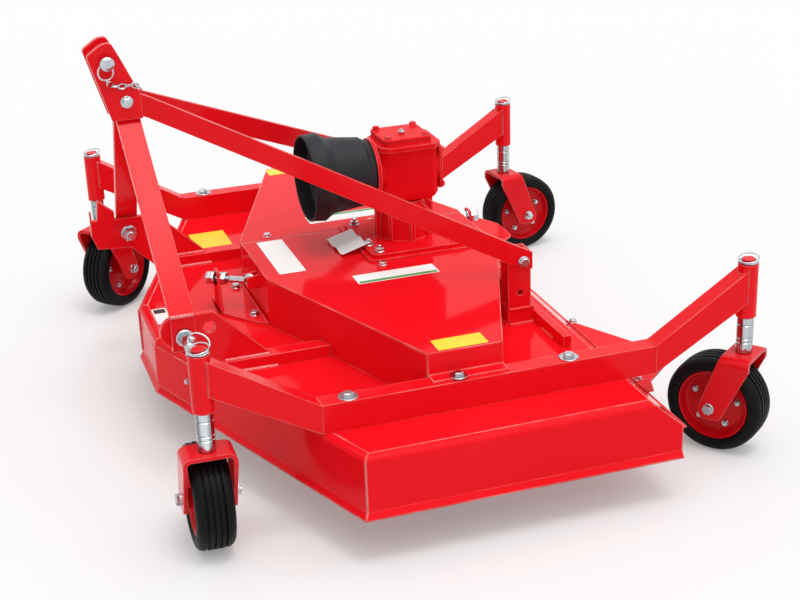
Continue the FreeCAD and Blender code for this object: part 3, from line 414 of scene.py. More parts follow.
def swept(path, radii, sides=8, closed=False):
    """A round bar along a path, with a radius for each of its points."""
    count = len(path)
    ends = [path[(i + 1) % count] - path[i - 1] if closed or 0 < i < count - 1
            else path[min(i + 1, count - 1)] - path[max(i - 1, 0)] for i in range(count)]
    normal = ends[0].orthogonal().normalized()
    points, faces = [], []
    for i, way in enumerate(ends):
        if i:
            normal = ends[i - 1].rotation_difference(way) @ normal
        third = way.normalized().cross(normal)
        for side in range(sides):
            angle = 2 * math.pi * side / sides
            points.append(path[i] + (normal * math.cos(angle) + third * math.sin(angle)) * radii[i])
    for i in range(count if closed else count - 1):
        first, second = i * sides, (i + 1) % count * sides
        faces += [[first + s, first + (s + 1) % sides, second + (s + 1) % sides, second + s]
                  for s in range(sides)]
    if not closed:
        faces += [list(range(sides))[::-1], [(count - 1) * sides + s for s in range(sides)]]
    return points, faces


def weld(*corners, size=throat):
    """A weld bead along straight runs: one drop every few millimetres, each on the last."""
    corners = [Vector(corner) for corner in corners]
    path, radii = [], []
    for start, end in zip(corners, corners[1:]):
        steps = max(2, round((end - start).length / ripple * ripple_steps))
        for step in range(steps + 1):
            if step or not path:
                path.append(start.lerp(end, step / steps))
                radii.append(size * (0.8 + 0.2 * abs(math.sin(math.pi * len(path) / ripple_steps))))
    radii[0] = radii[-1] = size * 0.4
    return swept(path, radii)


joints = {joint["name"]: joint for joint in frame["joints"]}
# CAD points closer than this to a level or a face lie on it.
flush = 0.001
crank_throat = 0.0022
tube_throat = 0.0025
tube_weld_in = 0.010
tube_weld_ends = (0.046, 0.012)
beam_thread, wide_washer = 0.012, 3.3
beam_bolt_back = (0.270, 0.725)
beads, beam_bolts = [], []
tube_low, tube_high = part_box("caster_tubes")
for side, name in ((1, "side_beam_left"), (-1, "side_beam_right")):
    low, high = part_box(name)
    middle = (low.x + high.x) / 2
    foot = [v.co.y for v in nodes[name].data.vertices if v.co.z < low.z + flush]
    straight_top = land(name, (middle, (min(foot) + max(foot)) / 2, low.z + 0.2), -UP)
    crest = [v.co.y for v in nodes[name].data.vertices if abs(v.co.z - straight_top.z) < flush]
    outer, inner = (high.x, low.x) if side > 0 else (low.x, high.x)
    for lower, upper in ((min(foot), min(crest)), (max(foot), max(crest))):
        beads.append(weld((inner, upper, straight_top.z), (outer, upper, straight_top.z),
                          (outer, lower, low.z), size=crank_throat))
    for back in beam_bolt_back:
        beam_bolts += bolt(land(name, (middle, low.y + back, high.z), -UP), UP, beam_thread, wide_washer)
    for inward, joint in ((1, "swivel_front_left"), (-1, "swivel_rear_left")):
        y = joints[joint]["pos_m"][1] + inward * tube_weld_in
        for edge in (low.x, high.x):
            beads.append(weld((edge, y, tube_low.z + tube_weld_ends[0]),
                              (edge, y, tube_high.z - tube_weld_ends[1]), size=tube_throat))
build("beam_welds", "mower_frame", bar_enamel, beads, crease=60)

cover_side_thread = 0.011
cover_side_in = 0.007
cover_side_back = 0.245
for name, x, front in (("belt_cover_left", cover_high.x - cover_side_in, cover_low.y),
                       ("belt_cover_right", right_low.x + cover_side_in, right_low.y)):
    spot = (x, front + cover_side_back, cover_high.z)
    beam_bolts += bolt(land(name, spot, -UP), UP, cover_side_thread, wide_washer)
build("beam_bolts", "mower_frame", zinc, beam_bolts)


# ---- Casters
# Each fork is flat bar bent to a U with its spindle welded on top. Plated spacer rings of four
# heights set the cutting height, a plated cap holds the spindle, and a bolt is the axle.

# Enamel on bent flat bar: a shade darker and a little less glossy, with a painted highlight along the edges.
fork_enamel, shader = surface("gloss_enamel_on_bent_flat_bar", IOR=1.5, Specular_IOR_Level=0.15)
mottle(fork_enamel, shader, 0.12, linear("DE0F1A"), linear("E5131E"))
mottle(fork_enamel, shader, 0.03, grey(0.10), grey(0.18), "Roughness")
relief(fork_enamel, shader, 0.0035, 0.000015, edge=0.003)
paint_edge_highlights(fork_enamel, shader, 0.0030, "F8B4B0", 0.5)

corners = ("front_left", "front_right", "rear_left", "rear_right")
coat(fork_enamel, *("caster_fork_" + corner for corner in corners))

# Cold-drawn tube, plated and bright. Dark and pale bands along its length, a few millimetres
# wide, are a painted reflection of the surroundings in the plating.
spacer_steel, shader = surface("plated_spacer_tube_painted_reflection", Metallic=1.0)
mottle(spacer_steel, shader, 0.006, linear("70787C"), linear("E4E8EA"), drawn=40)
mottle(spacer_steel, shader, 0.004, grey(0.1), grey(0.2), "Roughness", drawn=40)
relief(spacer_steel, shader, 0.0015, 0.000004)


def wire_ring(centre, normal, radius, wire):
    """A closed ring of round wire."""
    side = Vector(normal).orthogonal().normalized()
    third = Vector(normal).normalized().cross(side)
    path = [Vector(centre) + (side * math.cos(a) + third * math.sin(a)) * radius
            for a in (2 * math.pi * i / 40 for i in range(40))]
    return swept(path, [wire] * len(path), closed=True)


spacer_shares = (0.31, 0.11, 0.37, 0.21)
spacer_radius = 0.0172
spacer_edge = 0.0018
spacer_joint = 0.0002
stack_gap = 0.0006
spindle_radius = 0.0131
cap_radius = 0.0205
cap_height = 0.0055
cap_edge = 0.002
cap_round = 0.003
cap_ring_rise = 0.0035
cap_ring_tilt = (0.10, -0.16, 1)
cap_ring_wire = 0.0014
fork_half = 0.0522
axle_radius = 0.006
axle_thread, axle_washer, axle_stub = 0.0125, 1.95, 0.003
for corner in corners:
    body = "caster_" + corner
    seat = Vector(joints["swivel_" + corner]["pos_m"])
    height = tube_low.z - seat.z - stack_gap
    spacers, low = [], 0.0
    for share in spacer_shares:
        high = low + share * height
        spacers.append(turned(seat, UP, [
            (low, spindle_radius), (low, spacer_radius - spacer_edge),
            (low + spacer_edge, spacer_radius), (high - spacer_edge, spacer_radius),
            (high - spacer_joint, spacer_radius - spacer_edge),
            (high - spacer_joint, spindle_radius)], 36, ring=True))
        low = high
    build("caster_spacers_" + corner, body, spacer_steel, spacers)
    top = Vector((seat.x, seat.y, tube_high.z + stack_gap))
    fittings = [turned(top, UP, [
        (0, spindle_radius), (0, cap_radius - cap_edge), (cap_edge, cap_radius),
        (cap_height - cap_round, cap_radius), (cap_height, cap_radius - cap_round),
        (cap_height, cap_radius - 2 * cap_round), (cap_height - cap_round, spindle_radius + 0.001),
        (cap_height - cap_round, spindle_radius)], 36, ring=True)]
    fittings.append(wire_ring(top + UP * (cap_height + cap_ring_rise), cap_ring_tilt, cap_radius,
                              cap_ring_wire))
    spin = joints["wheel_spin_" + corner]
    hub, axle = Vector(spin["pos_m"]), Vector(spin["axis"])
    for way, shank in ((-1, axle_stub), (1, 0.0)):
        fittings += bolt(hub + axle * way * fork_half, axle * way, axle_thread, axle_washer,
                         shank=shank)
    fittings.append(turned(hub, axle, [(-fork_half, axle_radius), (fork_half, axle_radius)], 16))
    piece = build("caster_fittings_" + corner, body, zinc, fittings)
    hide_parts("caster_hardware_" + corner)


# ---- Wheels
# Steel rims pressed in two halves and bolted together, painted red, under solid ribbed tyres
# moulded in black rubber.

# Enamel on a pressing: a deeper and duller red, over the pressing's soft grain of about 3 mm.
rim_enamel, shader = surface("gloss_enamel_on_pressed_rim", IOR=1.5, Specular_IOR_Level=0.15)
mottle(rim_enamel, shader, 0.08, linear("C80B16"), linear("D20F1A"))
mottle(rim_enamel, shader, 0.02, grey(0.14), grey(0.22), "Roughness")
relief(rim_enamel, shader, 0.003, 0.00002)

# Moulded rubber: near black and matt, with a fine pebble from the mould of about 1 mm.
tyre_rubber, shader = surface("moulded_tyre_rubber", IOR=1.52, Specular_IOR_Level=0.12)
mottle(tyre_rubber, shader, 0.03, linear("08080A"), linear("0E0E0F"))
mottle(tyre_rubber, shader, 0.02, grey(0.42), grey(0.6), "Roughness")
relief(tyre_rubber, shader, 0.0012, 0.00008)

tyre_radius = 0.105
tyre_half = 0.038
rim_radius = 0.0762
rim_half = 0.032
rib_width = 0.0078
rib_pitch = 0.0115
rib_edge = 0.0006
outer_rib_drop = 0.0012
groove_depth = 0.004
tread = []
for rib in (2, 1, 0, -1, -2):
    crown = tyre_radius - (outer_rib_drop if abs(rib) == 2 else 0)
    middle, half = rib * rib_pitch, rib_width / 2
    tread += [(middle + half, crown - groove_depth), (middle + half - rib_edge, crown),
              (middle - half + rib_edge, crown), (middle - half, crown - groove_depth)]
shoulder = [(rim_half, rim_radius), (tyre_half - 0.002, rim_radius + 0.003),
            (tyre_half, rim_radius + 0.007), (tyre_half - 0.0008, rim_radius + 0.0085),
            (tyre_half, rim_radius + 0.010), (tyre_half, tyre_radius - 0.016),
            (tyre_half - 0.0015, tyre_radius - 0.010), (tyre_half - 0.005, tyre_radius - 0.005),
            (tyre_half - 0.009, tyre_radius - 0.0028)]
tyre_profile = shoulder + tread[1:-1] + [(-along, radius) for along, radius in reversed(shoulder)]

hub_half = 0.041
hub_radius = 0.019
hub_bore = 0.0064
disc_face = 0.014
disc_step_radius = 0.060
rim_side = [(rim_half, rim_radius), (rim_half + 0.0015, rim_radius - 0.0015),
            (rim_half, rim_radius - 0.004), (rim_half - 0.006, rim_radius - 0.006),
            (disc_face + 0.004, rim_radius - 0.011), (disc_face + 0.003, disc_step_radius + 0.002),
            (disc_face, disc_step_radius), (disc_face, hub_radius + 0.012),
            (disc_face + 0.003, hub_radius + 0.007), (disc_face + 0.004, hub_radius),
            (hub_half, hub_radius), (hub_half, hub_bore)]
rim_profile = rim_side + [(-along, radius) for along, radius in reversed(rim_side)]
rim_bolt_circle = 0.0495
rim_bolts = 5
rim_bolt_start = 0.35
rim_thread, rim_washer, rim_stub = 0.0075, 1.9, 0.003
for corner in corners:
    spin = joints["wheel_spin_" + corner]
    hub, axle = Vector(spin["pos_m"]), Vector(spin["axis"])
    body = "wheel_" + corner
    tyre = build("ribbed_tyre_" + corner, body, tyre_rubber,
                 [turned(hub, axle, tyre_profile, 72, ring=True)], crease=40)
    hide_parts("tyre_" + corner)
    rim = build("pressed_rim_" + corner, body, rim_enamel,
                [turned(hub, axle, rim_profile, 72, ring=True)], crease=40)
    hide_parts("wheel_rim_" + corner)
    side = axle.cross(UP)
    studs = []
    for step in range(rim_bolts):
        angle = 2 * math.pi * (step + rim_bolt_start) / rim_bolts
        arm = (side * math.cos(angle) + UP * math.sin(angle)) * rim_bolt_circle
        for way in (-1, 1):
            studs += bolt(hub + arm + axle * way * disc_face, axle * way, rim_thread, rim_washer,
                          shank=rim_stub)
    build("rim_bolts_" + corner, body, zinc, studs)


# ---- Hitch plates, rails and lower pins
# Flame-cut plates welded on rails of square bar, with zinc plated pins for the tractor's
# lower links; each pin is kept by a linchpin with a sprung ring.

# Enamel over raw weld: it stays rough, with pale speckle painted in as glints on the ripples and spatter.
weld_enamel, shader = surface("enamel_over_weld_beads", IOR=1.5, Specular_IOR_Level=0.3)
mottle(weld_enamel, shader, 0.003, linear("E4303A"), linear("F6B6B4"))
mottle(weld_enamel, shader, 0.004, grey(0.2), grey(0.4), "Roughness")
relief(weld_enamel, shader, 0.002, 0.0006)

bead_out = 0.001
weld_throat = 0.0042
plate_weld_ends = (0.006, 0.004)
rail_weld_ends = (0.004, 0.115)
beads = []
for side, (plate, rail, leg) in ((1, ("hitch_plate_left", "hitch_rail_left", "mast_leg_left")),
                                 (-1, ("hitch_plate_right", "hitch_rail_right", "mast_leg_right"))):
    low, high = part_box(plate)
    rail_low, rail_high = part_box(rail)
    leg_low, leg_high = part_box(leg)
    rail_top, deck_face = rail_high.z + bead_out, deck_high.z + bead_out
    for x in (low.x - bead_out, high.x + bead_out):
        beads.append(weld((x, rail_low.y + plate_weld_ends[0], rail_top),
                          (x, high.y - plate_weld_ends[1], rail_top)))
    for x in (rail_low.x - bead_out, rail_high.x + bead_out):
        beads.append(weld((x, rail_low.y + rail_weld_ends[0], deck_face),
                          (x, rail_low.y + rail_weld_ends[1], deck_face), size=weld_throat))
    front = rail_low.y - bead_out
    beads.append(weld((rail_low.x, front, deck_face), (rail_high.x, front, deck_face)))
    face = leg_high.x if side > 0 else leg_low.x
    upright = [v.co for v in nodes[leg].data.vertices if abs(v.co.x - face) < flush / 2]
    bend = max(v.z for v in upright)
    ends = [v.y for v in upright if v.z > bend - flush]
    beads.append(weld((face, min(ends) + bead_out, bend), (face, max(ends) - bead_out, bend),
                      size=weld_throat))
build("hitch_welds", "mower_frame", weld_enamel, beads, crease=60)

pin_mount = next(m for m in frame["record"]["mounts"] if m["name"] == "lower_link_left")
pin_radius = pin_mount["dims"]["r_mm"] / 1000
collar_end = pin_mount["pos_m"][0] - pin_mount["dims"]["length_mm"] / 2000
plate_in, plate_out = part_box("hitch_plate_left")[0].x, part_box("mast_leg_left")[1].x
pin_collar_radius = 0.018
pin_washer_radius = 0.0185
pin_washer_sheet = 0.003
pin_nut_across, pin_nut_height = 0.030, 0.018
pin_thread_radius = 0.0095
thread_edge, washer_edge, collar_edge, tip_edge = 0.0015, 0.0008, 0.002, 0.003
linchpin_in = 0.011
linchpin_lean = Vector((0, 0.35, 1)).normalized()
linchpin_radius = 0.0045
linchpin_head = 0.0075
linchpin_ring_rise = 0.017
linchpin_ring_radius, linchpin_wire = 0.0225, 0.0018
for side, name in ((1, "lower_hitch_pin_left"), (-1, "lower_hitch_pin_right")):
    low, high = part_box(name)
    end = high.x if side > 0 else low.x
    tip, root = max(abs(low.x), abs(high.x)), min(abs(low.x), abs(high.x))
    inner = plate_in - pin_washer_sheet
    drawn = turned((0, 0, 0), LEFT * side, [
        (root, pin_thread_radius - thread_edge), (root + thread_edge, pin_thread_radius),
        (inner, pin_thread_radius), (inner, pin_washer_radius - washer_edge),
        (inner + washer_edge, pin_washer_radius), (plate_in, pin_washer_radius),
        (plate_in, pin_thread_radius), (plate_out, pin_thread_radius),
        (plate_out, pin_collar_radius), (collar_end - collar_edge, pin_collar_radius),
        (collar_end, pin_collar_radius - collar_edge), (collar_end, pin_radius),
        (tip - tip_edge, pin_radius), (tip, pin_radius - tip_edge)], 40)
    nut = hexagon((side * inner, 0, 0), LEFT * -side, pin_nut_across, pin_nut_height, 0.25)
    pin = build("drawn_" + name, "mower_frame", zinc, [drawn, nut], crease=25)
    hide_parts(name)
    through = Vector((end - side * linchpin_in, 0, 0))
    linchpin = turned(through, linchpin_lean, [
        (-0.020, 0.0025), (-0.016, linchpin_radius), (0.013, linchpin_radius),
        (0.014, linchpin_head), (0.021, linchpin_head), (0.023, 0.005)], 20)
    ring = wire_ring(through + linchpin_lean * linchpin_ring_rise
                     + Vector((side * 0.008, 0.012, -0.006)),
                     Vector((side * 0.55, 0.25, 0.8)).normalized(), linchpin_ring_radius, linchpin_wire)
    build("linchpin_" + ("left" if side > 0 else "right"), "mower_frame", zinc, [linchpin, ring])


# ---- Mast
# Two legs of flat bar lean in to two mast plates bolted through; a turned pin across them
# takes the top link, kept by a ring on a length of plated chain.
coat(zinc, "top_link_pin")
pin_low, pin_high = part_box("top_link_pin")
pin_axis = (pin_low + pin_high) / 2
plate_low, plate_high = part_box("mast_plate_left")
mast_thread, mast_washer = 0.011, 2.4
mast_bolt_from_rear = 0.0305
mast_bolt_from_foot = 0.038
keeper_radius, keeper_wire = 0.0160, 0.0018
parts = []
for side, name in ((-1, "mast_plate_right"), (1, "mast_plate_left")):
    start = (side * 0.2, plate_high.y - mast_bolt_from_rear, plate_low.z + mast_bolt_from_foot)
    parts += bolt(land(name, start, LEFT * -side), LEFT * side, mast_thread, mast_washer)
parts.append(wire_ring((pin_high.x - 0.002, pin_axis.y - 0.005, pin_axis.z - 0.017), (1, 0.15, 0.1),
                       keeper_radius, keeper_wire))
parts.append(turned((pin_high.x - 0.001, pin_axis.y, pin_axis.z), LEFT,
                    [(0, 0.0148), (0.002, 0.0146), (0.004, 0.0125), (0.0055, 0.009), (0.0062, 0.004)]))
build("mast_fittings", "mower_frame", zinc, parts)

link_wire = 0.0018
link_length = 0.0175
link_width = 0.0105
spot_step = 0.001
chain_path = [Vector((pin_high.x - inward, pin_axis.y + back, pin_axis.z - down))
              for inward, back, down in (
                  (0, -0.006, 0.032), (0.010, -0.001, 0.043), (0.016, 0.012, 0.052),
                  (0.016, 0.028, 0.054), (0.016, 0.046, 0.051), (0.019, 0.060, 0.056),
                  (0.032, 0.068, 0.066))]
spots = []
for start, end in zip(chain_path, chain_path[1:]):
    steps = max(1, round((end - start).length / spot_step))
    spots += [start.lerp(end, step / steps) for step in range(steps)]
links = []
pitch = round((link_length - 2 * link_wire) / spot_step)
for turn, at in enumerate(range(0, len(spots) - pitch, pitch)):
    way = (spots[at + pitch] - spots[at]).normalized()
    flat = way.cross(LEFT).normalized() if turn % 2 else way.cross(way.cross(LEFT)).normalized()
    middle = spots[at].lerp(spots[at + pitch], 0.5)
    oval = [middle + way * math.cos(a) * link_length / 2 + flat * math.sin(a) * link_width / 2
            for a in (2 * math.pi * i / 18 for i in range(18))]
    links.append(swept(oval, [link_wire] * len(oval), 6, closed=True))
build("top_pin_chain", "mower_frame", zinc, links)


# ---- Braces, rear posts and cross bar
# Flat bar braces run back from the mast to folded posts on the deck, bolted through at the
# posts; the posts and the cross bar are welded down.
brace_thread = 0.012
brace_bolt_from_end = 0.0205
brace_bolt_rise = 0.019
post_throat, strut_throat = 0.004, 0.003
post_weld_in = 0.002
strut_rise = 0.036
bar_weld_starts = (-0.44, -0.18, 0.10, 0.38)
bar_weld_run = 0.06
fasteners, beads = [], []
for side, brace, post in ((1, "mast_brace_left", "rear_post_left"),
                          (-1, "mast_brace_right", "rear_post_right")):
    brace_low, brace_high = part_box(brace)
    post_low, post_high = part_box(post)
    spot = (side * 0.6, brace_high.y - brace_bolt_from_end, brace_low.z + brace_bolt_rise)
    fasteners += bolt(land(brace, spot, LEFT * -side), LEFT * side, brace_thread)
    outer, inner = (post_high.x, post_low.x) if side > 0 else (post_low.x, post_high.x)
    x, front, foot = outer + side * bead_out, post_low.y + post_weld_in, deck_high.z + bead_out
    beads.append(weld((x, front, foot), (x, post_high.y, foot), size=post_throat))
    beads.append(weld((outer, post_low.y - bead_out, foot), (inner, post_low.y - bead_out, foot),
                      size=post_throat))
    beads.append(weld((x, front, foot + strut_rise),
                      (x, post_high.y - post_weld_in, foot + strut_rise), size=strut_throat))
bar_low, bar_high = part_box("rear_cross_bar")
for start in bar_weld_starts:
    for y in (bar_low.y - bead_out, bar_high.y + bead_out):
        beads.append(weld((start, y, bar_low.z + bead_out),
                          (start + bar_weld_run, y, bar_low.z + bead_out)))
build("post_bolts", "mower_frame", zinc, fasteners)
build("post_welds", "mower_frame", bar_enamel, beads, crease=60)


# ---- Belt covers
# Two folded sheet covers over the belts, meeting off centre; small bolts hold them down
# beside the gearbox stand, and a card tag hangs from one of them.
hem_half, hem_radius, hem_out = 0.128, 0.0045, 0.005
hem_ends = [Vector((x, cover_low.y - hem_out, deck_high.z + hem_out)) for x in (-hem_half, hem_half)]
build("cover_hem", "mower_frame", sheet_enamel, [swept(hem_ends, [hem_radius] * 2, 12)], crease=60)
cover_thread = 0.009
fasteners = []
for name, x, y in (("belt_cover_right", -0.134, 0.293), ("belt_cover_right", -0.130, 0.545),
                   ("belt_cover_left", 0.148, 0.485)):
    fasteners += bolt(land(name, (x, y, cover_high.z), -UP), UP, cover_thread)
build("cover_bolts", "mower_frame", zinc, fasteners)

# Card: uncoated, off-white and matt, with a little curl across it. Its fibres are drawn at
# about 1 mm, coarser than real, so that they show.
tag_card, shader = surface("uncoated_tag_card", IOR=1.45, Roughness=0.8)
mottle(tag_card, shader, 0.01, linear("FAFAFB"), linear("FEFEFE"))
relief(tag_card, shader, 0.0012, 0.00004)
tag_width, tag_length, tag_curl = 0.112, 0.060, 0.005
tag_sheet = 0.0004
tag_rest = 0.016
tag_waves, tag_wave_start = 2.1, 0.6
tag_cells = 16
tag_middle = Vector((0.012, 0.444, cover_high.z + 0.002))
tag_turn = Matrix.Rotation(math.radians(3), 3, "Z")
points, faces = [], []
for layer in (0, 1):
    for i in range(tag_cells + 1):
        for j in range(tag_cells + 1):
            u, v = i / tag_cells - 0.5, j / tag_cells - 0.5
            wave = math.sin(2 * math.pi * tag_waves * u + tag_wave_start)
            lift = tag_curl * (1 + wave) / 2 + tag_rest * (v + 0.5) + layer * tag_sheet
            points.append(tag_middle + tag_turn @ Vector((u * tag_width, v * tag_length, lift)))
row = tag_cells + 1
for layer in (0, 1):
    shift = layer * row * row
    for i in range(tag_cells):
        for j in range(tag_cells):
            a = shift + i * row + j
            faces.append([a, a + 1, a + row + 1, a + row])
rim = ([i * row for i in range(row)] + [tag_cells * row + j for j in range(1, row)]
       + [i * row + tag_cells for i in range(tag_cells - 1, -1, -1)] + list(range(tag_cells - 1, 0, -1)))
faces += [[rim[i], rim[(i + 1) % len(rim)], rim[(i + 1) % len(rim)] + row * row, rim[i] + row * row]
          for i in range(len(rim))]
build("hang_tag", "mower_frame", tag_card, [(points, faces)])


# ---- Gearbox
# A grey-iron casting painted with the rest: a right-angle bevel gearbox on a ribbed stand.
# Its skin shows the sand, softened by the paint and drawn at 3.5 mm so that it shows.
cast_enamel, shader = surface("enamel_on_sand_cast_iron", IOR=1.5, Specular_IOR_Level=0.04)
mottle(cast_enamel, shader, 0.06, linear("E3101B"), linear("EB1520"))
mottle(cast_enamel, shader, 0.02, grey(0.2), grey(0.32), "Roughness")
relief(cast_enamel, shader, 0.0035, 0.00012, edge=0.003, detail=4.0)
# Painted highlight: a pale colour along the casting's edges.
paint_edge_highlights(cast_enamel, shader, 0.0035, "F8B4B0", 0.6)
coat(cast_enamel, "gearbox_housing", "gearbox_cover", "gearbox_flange", "gearbox_stand")

lid_low, lid_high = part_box("gearbox_cover")
flange_low, flange_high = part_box("gearbox_flange")
stand_low, stand_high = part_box("gearbox_stand")
lid_middle = (lid_low + lid_high) / 2
lid_half = (lid_high - lid_low) / 2
lid_bolt_in = 0.012
lid_thread, lid_washer = 0.0085, 1.9
painted = []
for sx in (-1, 1):
    for sy in (-1, 1):
        painted += bolt((lid_middle.x + sx * (lid_half.x - lid_bolt_in),
                         lid_middle.y + sy * (lid_half.y - lid_bolt_in), lid_high.z),
                        UP, lid_thread, lid_washer)
shaft_z = (flange_low.z + flange_high.z) / 2
end_width, end_height, end_corner, end_sheet = 0.098, 0.100, 0.010, 0.0065
end_bolt_x, end_bolt_z = 0.040, 0.041
end_thread, end_washer = 0.007, 1.7
end_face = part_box("gearbox_housing")[1].y + 0.0005
painted.append(slab(rounded(end_width, end_height, end_corner), end_sheet,
                    Vector((0, end_face, shaft_z)), LEFT, UP))
for sx in (-1, 1):
    for sz in (-1, 1):
        painted += bolt((sx * end_bolt_x, end_face, shaft_z + sz * end_bolt_z), REAR,
                        end_thread, end_washer)
build("gearbox_painted_bolts", "mower_frame", cast_enamel, painted)

rib_sheet = 0.008
rib_root, rib_shoulder, rib_reach = 0.040, 0.044, 0.066
rib_drop = 0.022
stand_bolt_in = 0.022
packing_sheet, packing_corner = 0.0045, 0.014
stand_middle = Vector((0, (stand_low.y + stand_high.y) / 2, 0))
base_top = land("gearbox_stand",
                (stand_low.x + stand_bolt_in, stand_low.y + stand_bolt_in, stand_high.z), -UP).z
rib_foot, rib_top = base_top - 0.001, stand_high.z - 0.0005
ribs = []
for turn in (45, 135, 225, 315):
    way = Vector((math.cos(math.radians(turn)), math.sin(math.radians(turn)), 0))
    ribs.append(slab([(rib_root, rib_foot), (rib_reach, rib_foot),
                      (rib_reach, stand_high.z - rib_drop), (rib_shoulder, rib_top),
                      (rib_root, rib_top)],
                     rib_sheet, stand_middle - way.cross(UP) * rib_sheet / 2, way, UP))
packing = slab(rounded(stand_high.x * 2 + 0.024, stand_high.y - stand_low.y + 0.022, packing_corner),
               packing_sheet, stand_middle + UP * (stand_low.z + 0.0002))
build("stand_ribs", "mower_frame", cast_enamel, ribs + [packing])

# The gasket under the lid: oiled paper, dark at the edge.
gasket_paper, shader = surface("oiled_gasket_paper", IOR=1.5, Roughness=0.7)
mottle(gasket_paper, shader, 0.01, linear("5A1210"), linear("6B1814"))
gasket_sheet, gasket_out, gasket_corner = 0.0012, 0.0003, 0.0102
gasket_drop = 0.0065
build("lid_gasket", "mower_frame", gasket_paper, [slab(
    rounded((lid_half.x + gasket_out) * 2, (lid_half.y + gasket_out) * 2, gasket_corner),
    gasket_sheet, Vector((lid_middle.x, lid_middle.y, lid_high.z - gasket_drop)))])

plug_at = (lid_middle.x + 0.012, lid_middle.y - 0.002, lid_high.z)
plug_across, plug_height = 0.014, 0.007
stand_thread, stand_stub, spare_stub = 0.011, 0.006, 0.004
plated = [hexagon(plug_at, UP, plug_across, plug_height),
          turned(plug_at, UP, [(0.006, 0.005), (0.010, 0.0045), (0.0105, 0.003)], 20)]
for sx in (-1, 1):
    for y in (stand_low.y + stand_bolt_in, stand_high.y - stand_bolt_in):
        plated += bolt((sx * (stand_high.x - stand_bolt_in), y, base_top), UP, stand_thread,
                       shank=stand_stub)
plated += bolt((0.047, stand_low.y + 0.012, base_top), UP, stand_thread, shank=spare_stub)
build("gearbox_plated_fittings", "mower_frame", zinc, plated)


# ---- Input shaft and its guard
# A six-spline shaft, hobbed from bar and left bright, inside a guard moulded in black
# polyethylene that is bolted to the gearbox's input flange.

# Bright steel as it comes off the lathe or the grinder: a paler grey than the zinc, with a soft
# sheen. The tool's marks are drawn at 1 mm, coarser than real, so that they show.
steel, shader = surface("bright_turned_steel", Metallic=1.0)
mottle(steel, shader, 0.01, linear("C4C7CB"), linear("DCDEE0"))
mottle(steel, shader, 0.003, grey(0.18), grey(0.3), "Roughness")
relief(steel, shader, 0.001, 0.000006)

shaft_low, shaft_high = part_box("pto_shaft")
seat_y = flange_low.y
teeth = 6
spline_outer = 0.0174
spline_root = 0.0148
groove_at, groove_half, groove_share, groove_edge = 0.038, 0.003, 0.86, 0.001
nose_edge, nose_share = 0.003, 0.90
outline = [(2 * math.pi * (tooth + share) / teeth, radius) for tooth in range(teeth)
           for share, radius in ((0.04, spline_root), (0.46, spline_root), (0.50, spline_outer),
                                 (0.96, spline_outer))]
groove_y = shaft_low.y + groove_at
stations = [(shaft_low.y, nose_share), (shaft_low.y + nose_edge, 1.0),
            (groove_y - groove_half - groove_edge, 1.0), (groove_y - groove_half, groove_share),
            (groove_y + groove_half, groove_share), (groove_y + groove_half + groove_edge, 1.0),
            (seat_y - 0.006, 1.0)]
points = [Vector((math.cos(angle) * min(radius, spline_outer * scale), y,
                  shaft_z + math.sin(angle) * min(radius, spline_outer * scale)))
          for y, scale in stations for angle, radius in outline]
count = len(outline)
faces = [[row * count + i, row * count + (i + 1) % count, (row + 1) * count + (i + 1) % count,
          (row + 1) * count + i] for row in range(len(stations) - 1) for i in range(count)]
faces += [list(range(count))[::-1], [(len(stations) - 1) * count + i for i in range(count)]]
shoulder_radius = shaft_high.x
collar = turned((0, 0, shaft_z), REAR, [
    (seat_y - 0.0065, 0.016), (seat_y - 0.006, shoulder_radius - 0.001),
    (seat_y - 0.005, shoulder_radius), (shaft_high.y - 0.001, shoulder_radius)], 36)
shaft = build("splined_shaft", "pto_input", steel, [(points, faces), collar], crease=25)
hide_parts("pto_shaft")

# Moulded polyethylene: charcoal and satin. The mould's spark-eroded texture is drawn at about
# 1 mm, coarser than real, so that it shows.
guard_plastic, shader = surface("moulded_black_polyethylene", IOR=1.51, Specular_IOR_Level=0.2)
mottle(guard_plastic, shader, 0.04, linear("1D1F23"), linear("26282C"))
mottle(guard_plastic, shader, 0.02, grey(0.42), grey(0.54), "Roughness")
relief(guard_plastic, shader, 0.0012, 0.00004, edge=0.0015)
coat(guard_plastic, "pto_guard")
lip = turned((0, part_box("pto_guard")[0].y, shaft_z), REAR, [
    (0.0, 0.0925), (-0.0016, 0.094), (0.0, 0.0965), (0.003, 0.0975), (0.004, 0.0965), (0.003, 0.0925)],
    72, ring=True)
build("guard_lip", "mower_frame", guard_plastic, [lip])
guard_bolt_circle = 0.046
guard_bolt_out = 0.004
guard_thread = 0.008
inside = []
for turn in (45, 135, 225, 315):
    angle = math.radians(turn)
    inside += bolt((math.cos(angle) * guard_bolt_circle, seat_y - guard_bolt_out,
                    shaft_z + math.sin(angle) * guard_bolt_circle), -REAR, guard_thread)
build("guard_bolts", "mower_frame", zinc, inside)


# ---- Belt tensioners
# Plated threaded rods through lugs on the deck, with a pair of big nuts each; the front one
# ends in a bracket on a bolted foot plate.
rod_low, rod_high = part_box("tensioner_rods")
lug_low, lug_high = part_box("tensioner_lugs")
rod_z = (rod_low.z + rod_high.z) / 2
thread_pitch = 0.002
thread_crest = 0.0070
thread_trough = 0.0061
lug_sheet = 0.006
rod_in = 0.0135
pull = Vector((0.57, 0.82, 0)).normalized()
front_hole = Vector((rod_high.x - rod_in, lug_low.y + lug_sheet / 2, rod_z))
rear_hole = Vector((rod_low.x + rod_in, lug_high.y - lug_sheet / 2, rod_z))
rod_nut_across, rod_nut_height = 0.027, 0.018
rod_nuts = (-0.0225, 0.0045)
rod_washer_radius, rod_washer_sheet, rod_washer_at = 0.017, 0.0015, -0.0045
eye_reach = 0.078
eye_radius, eye_wire = 0.011, 0.0048
shank_start, shank_radius = 0.032, 0.0075
threads = []
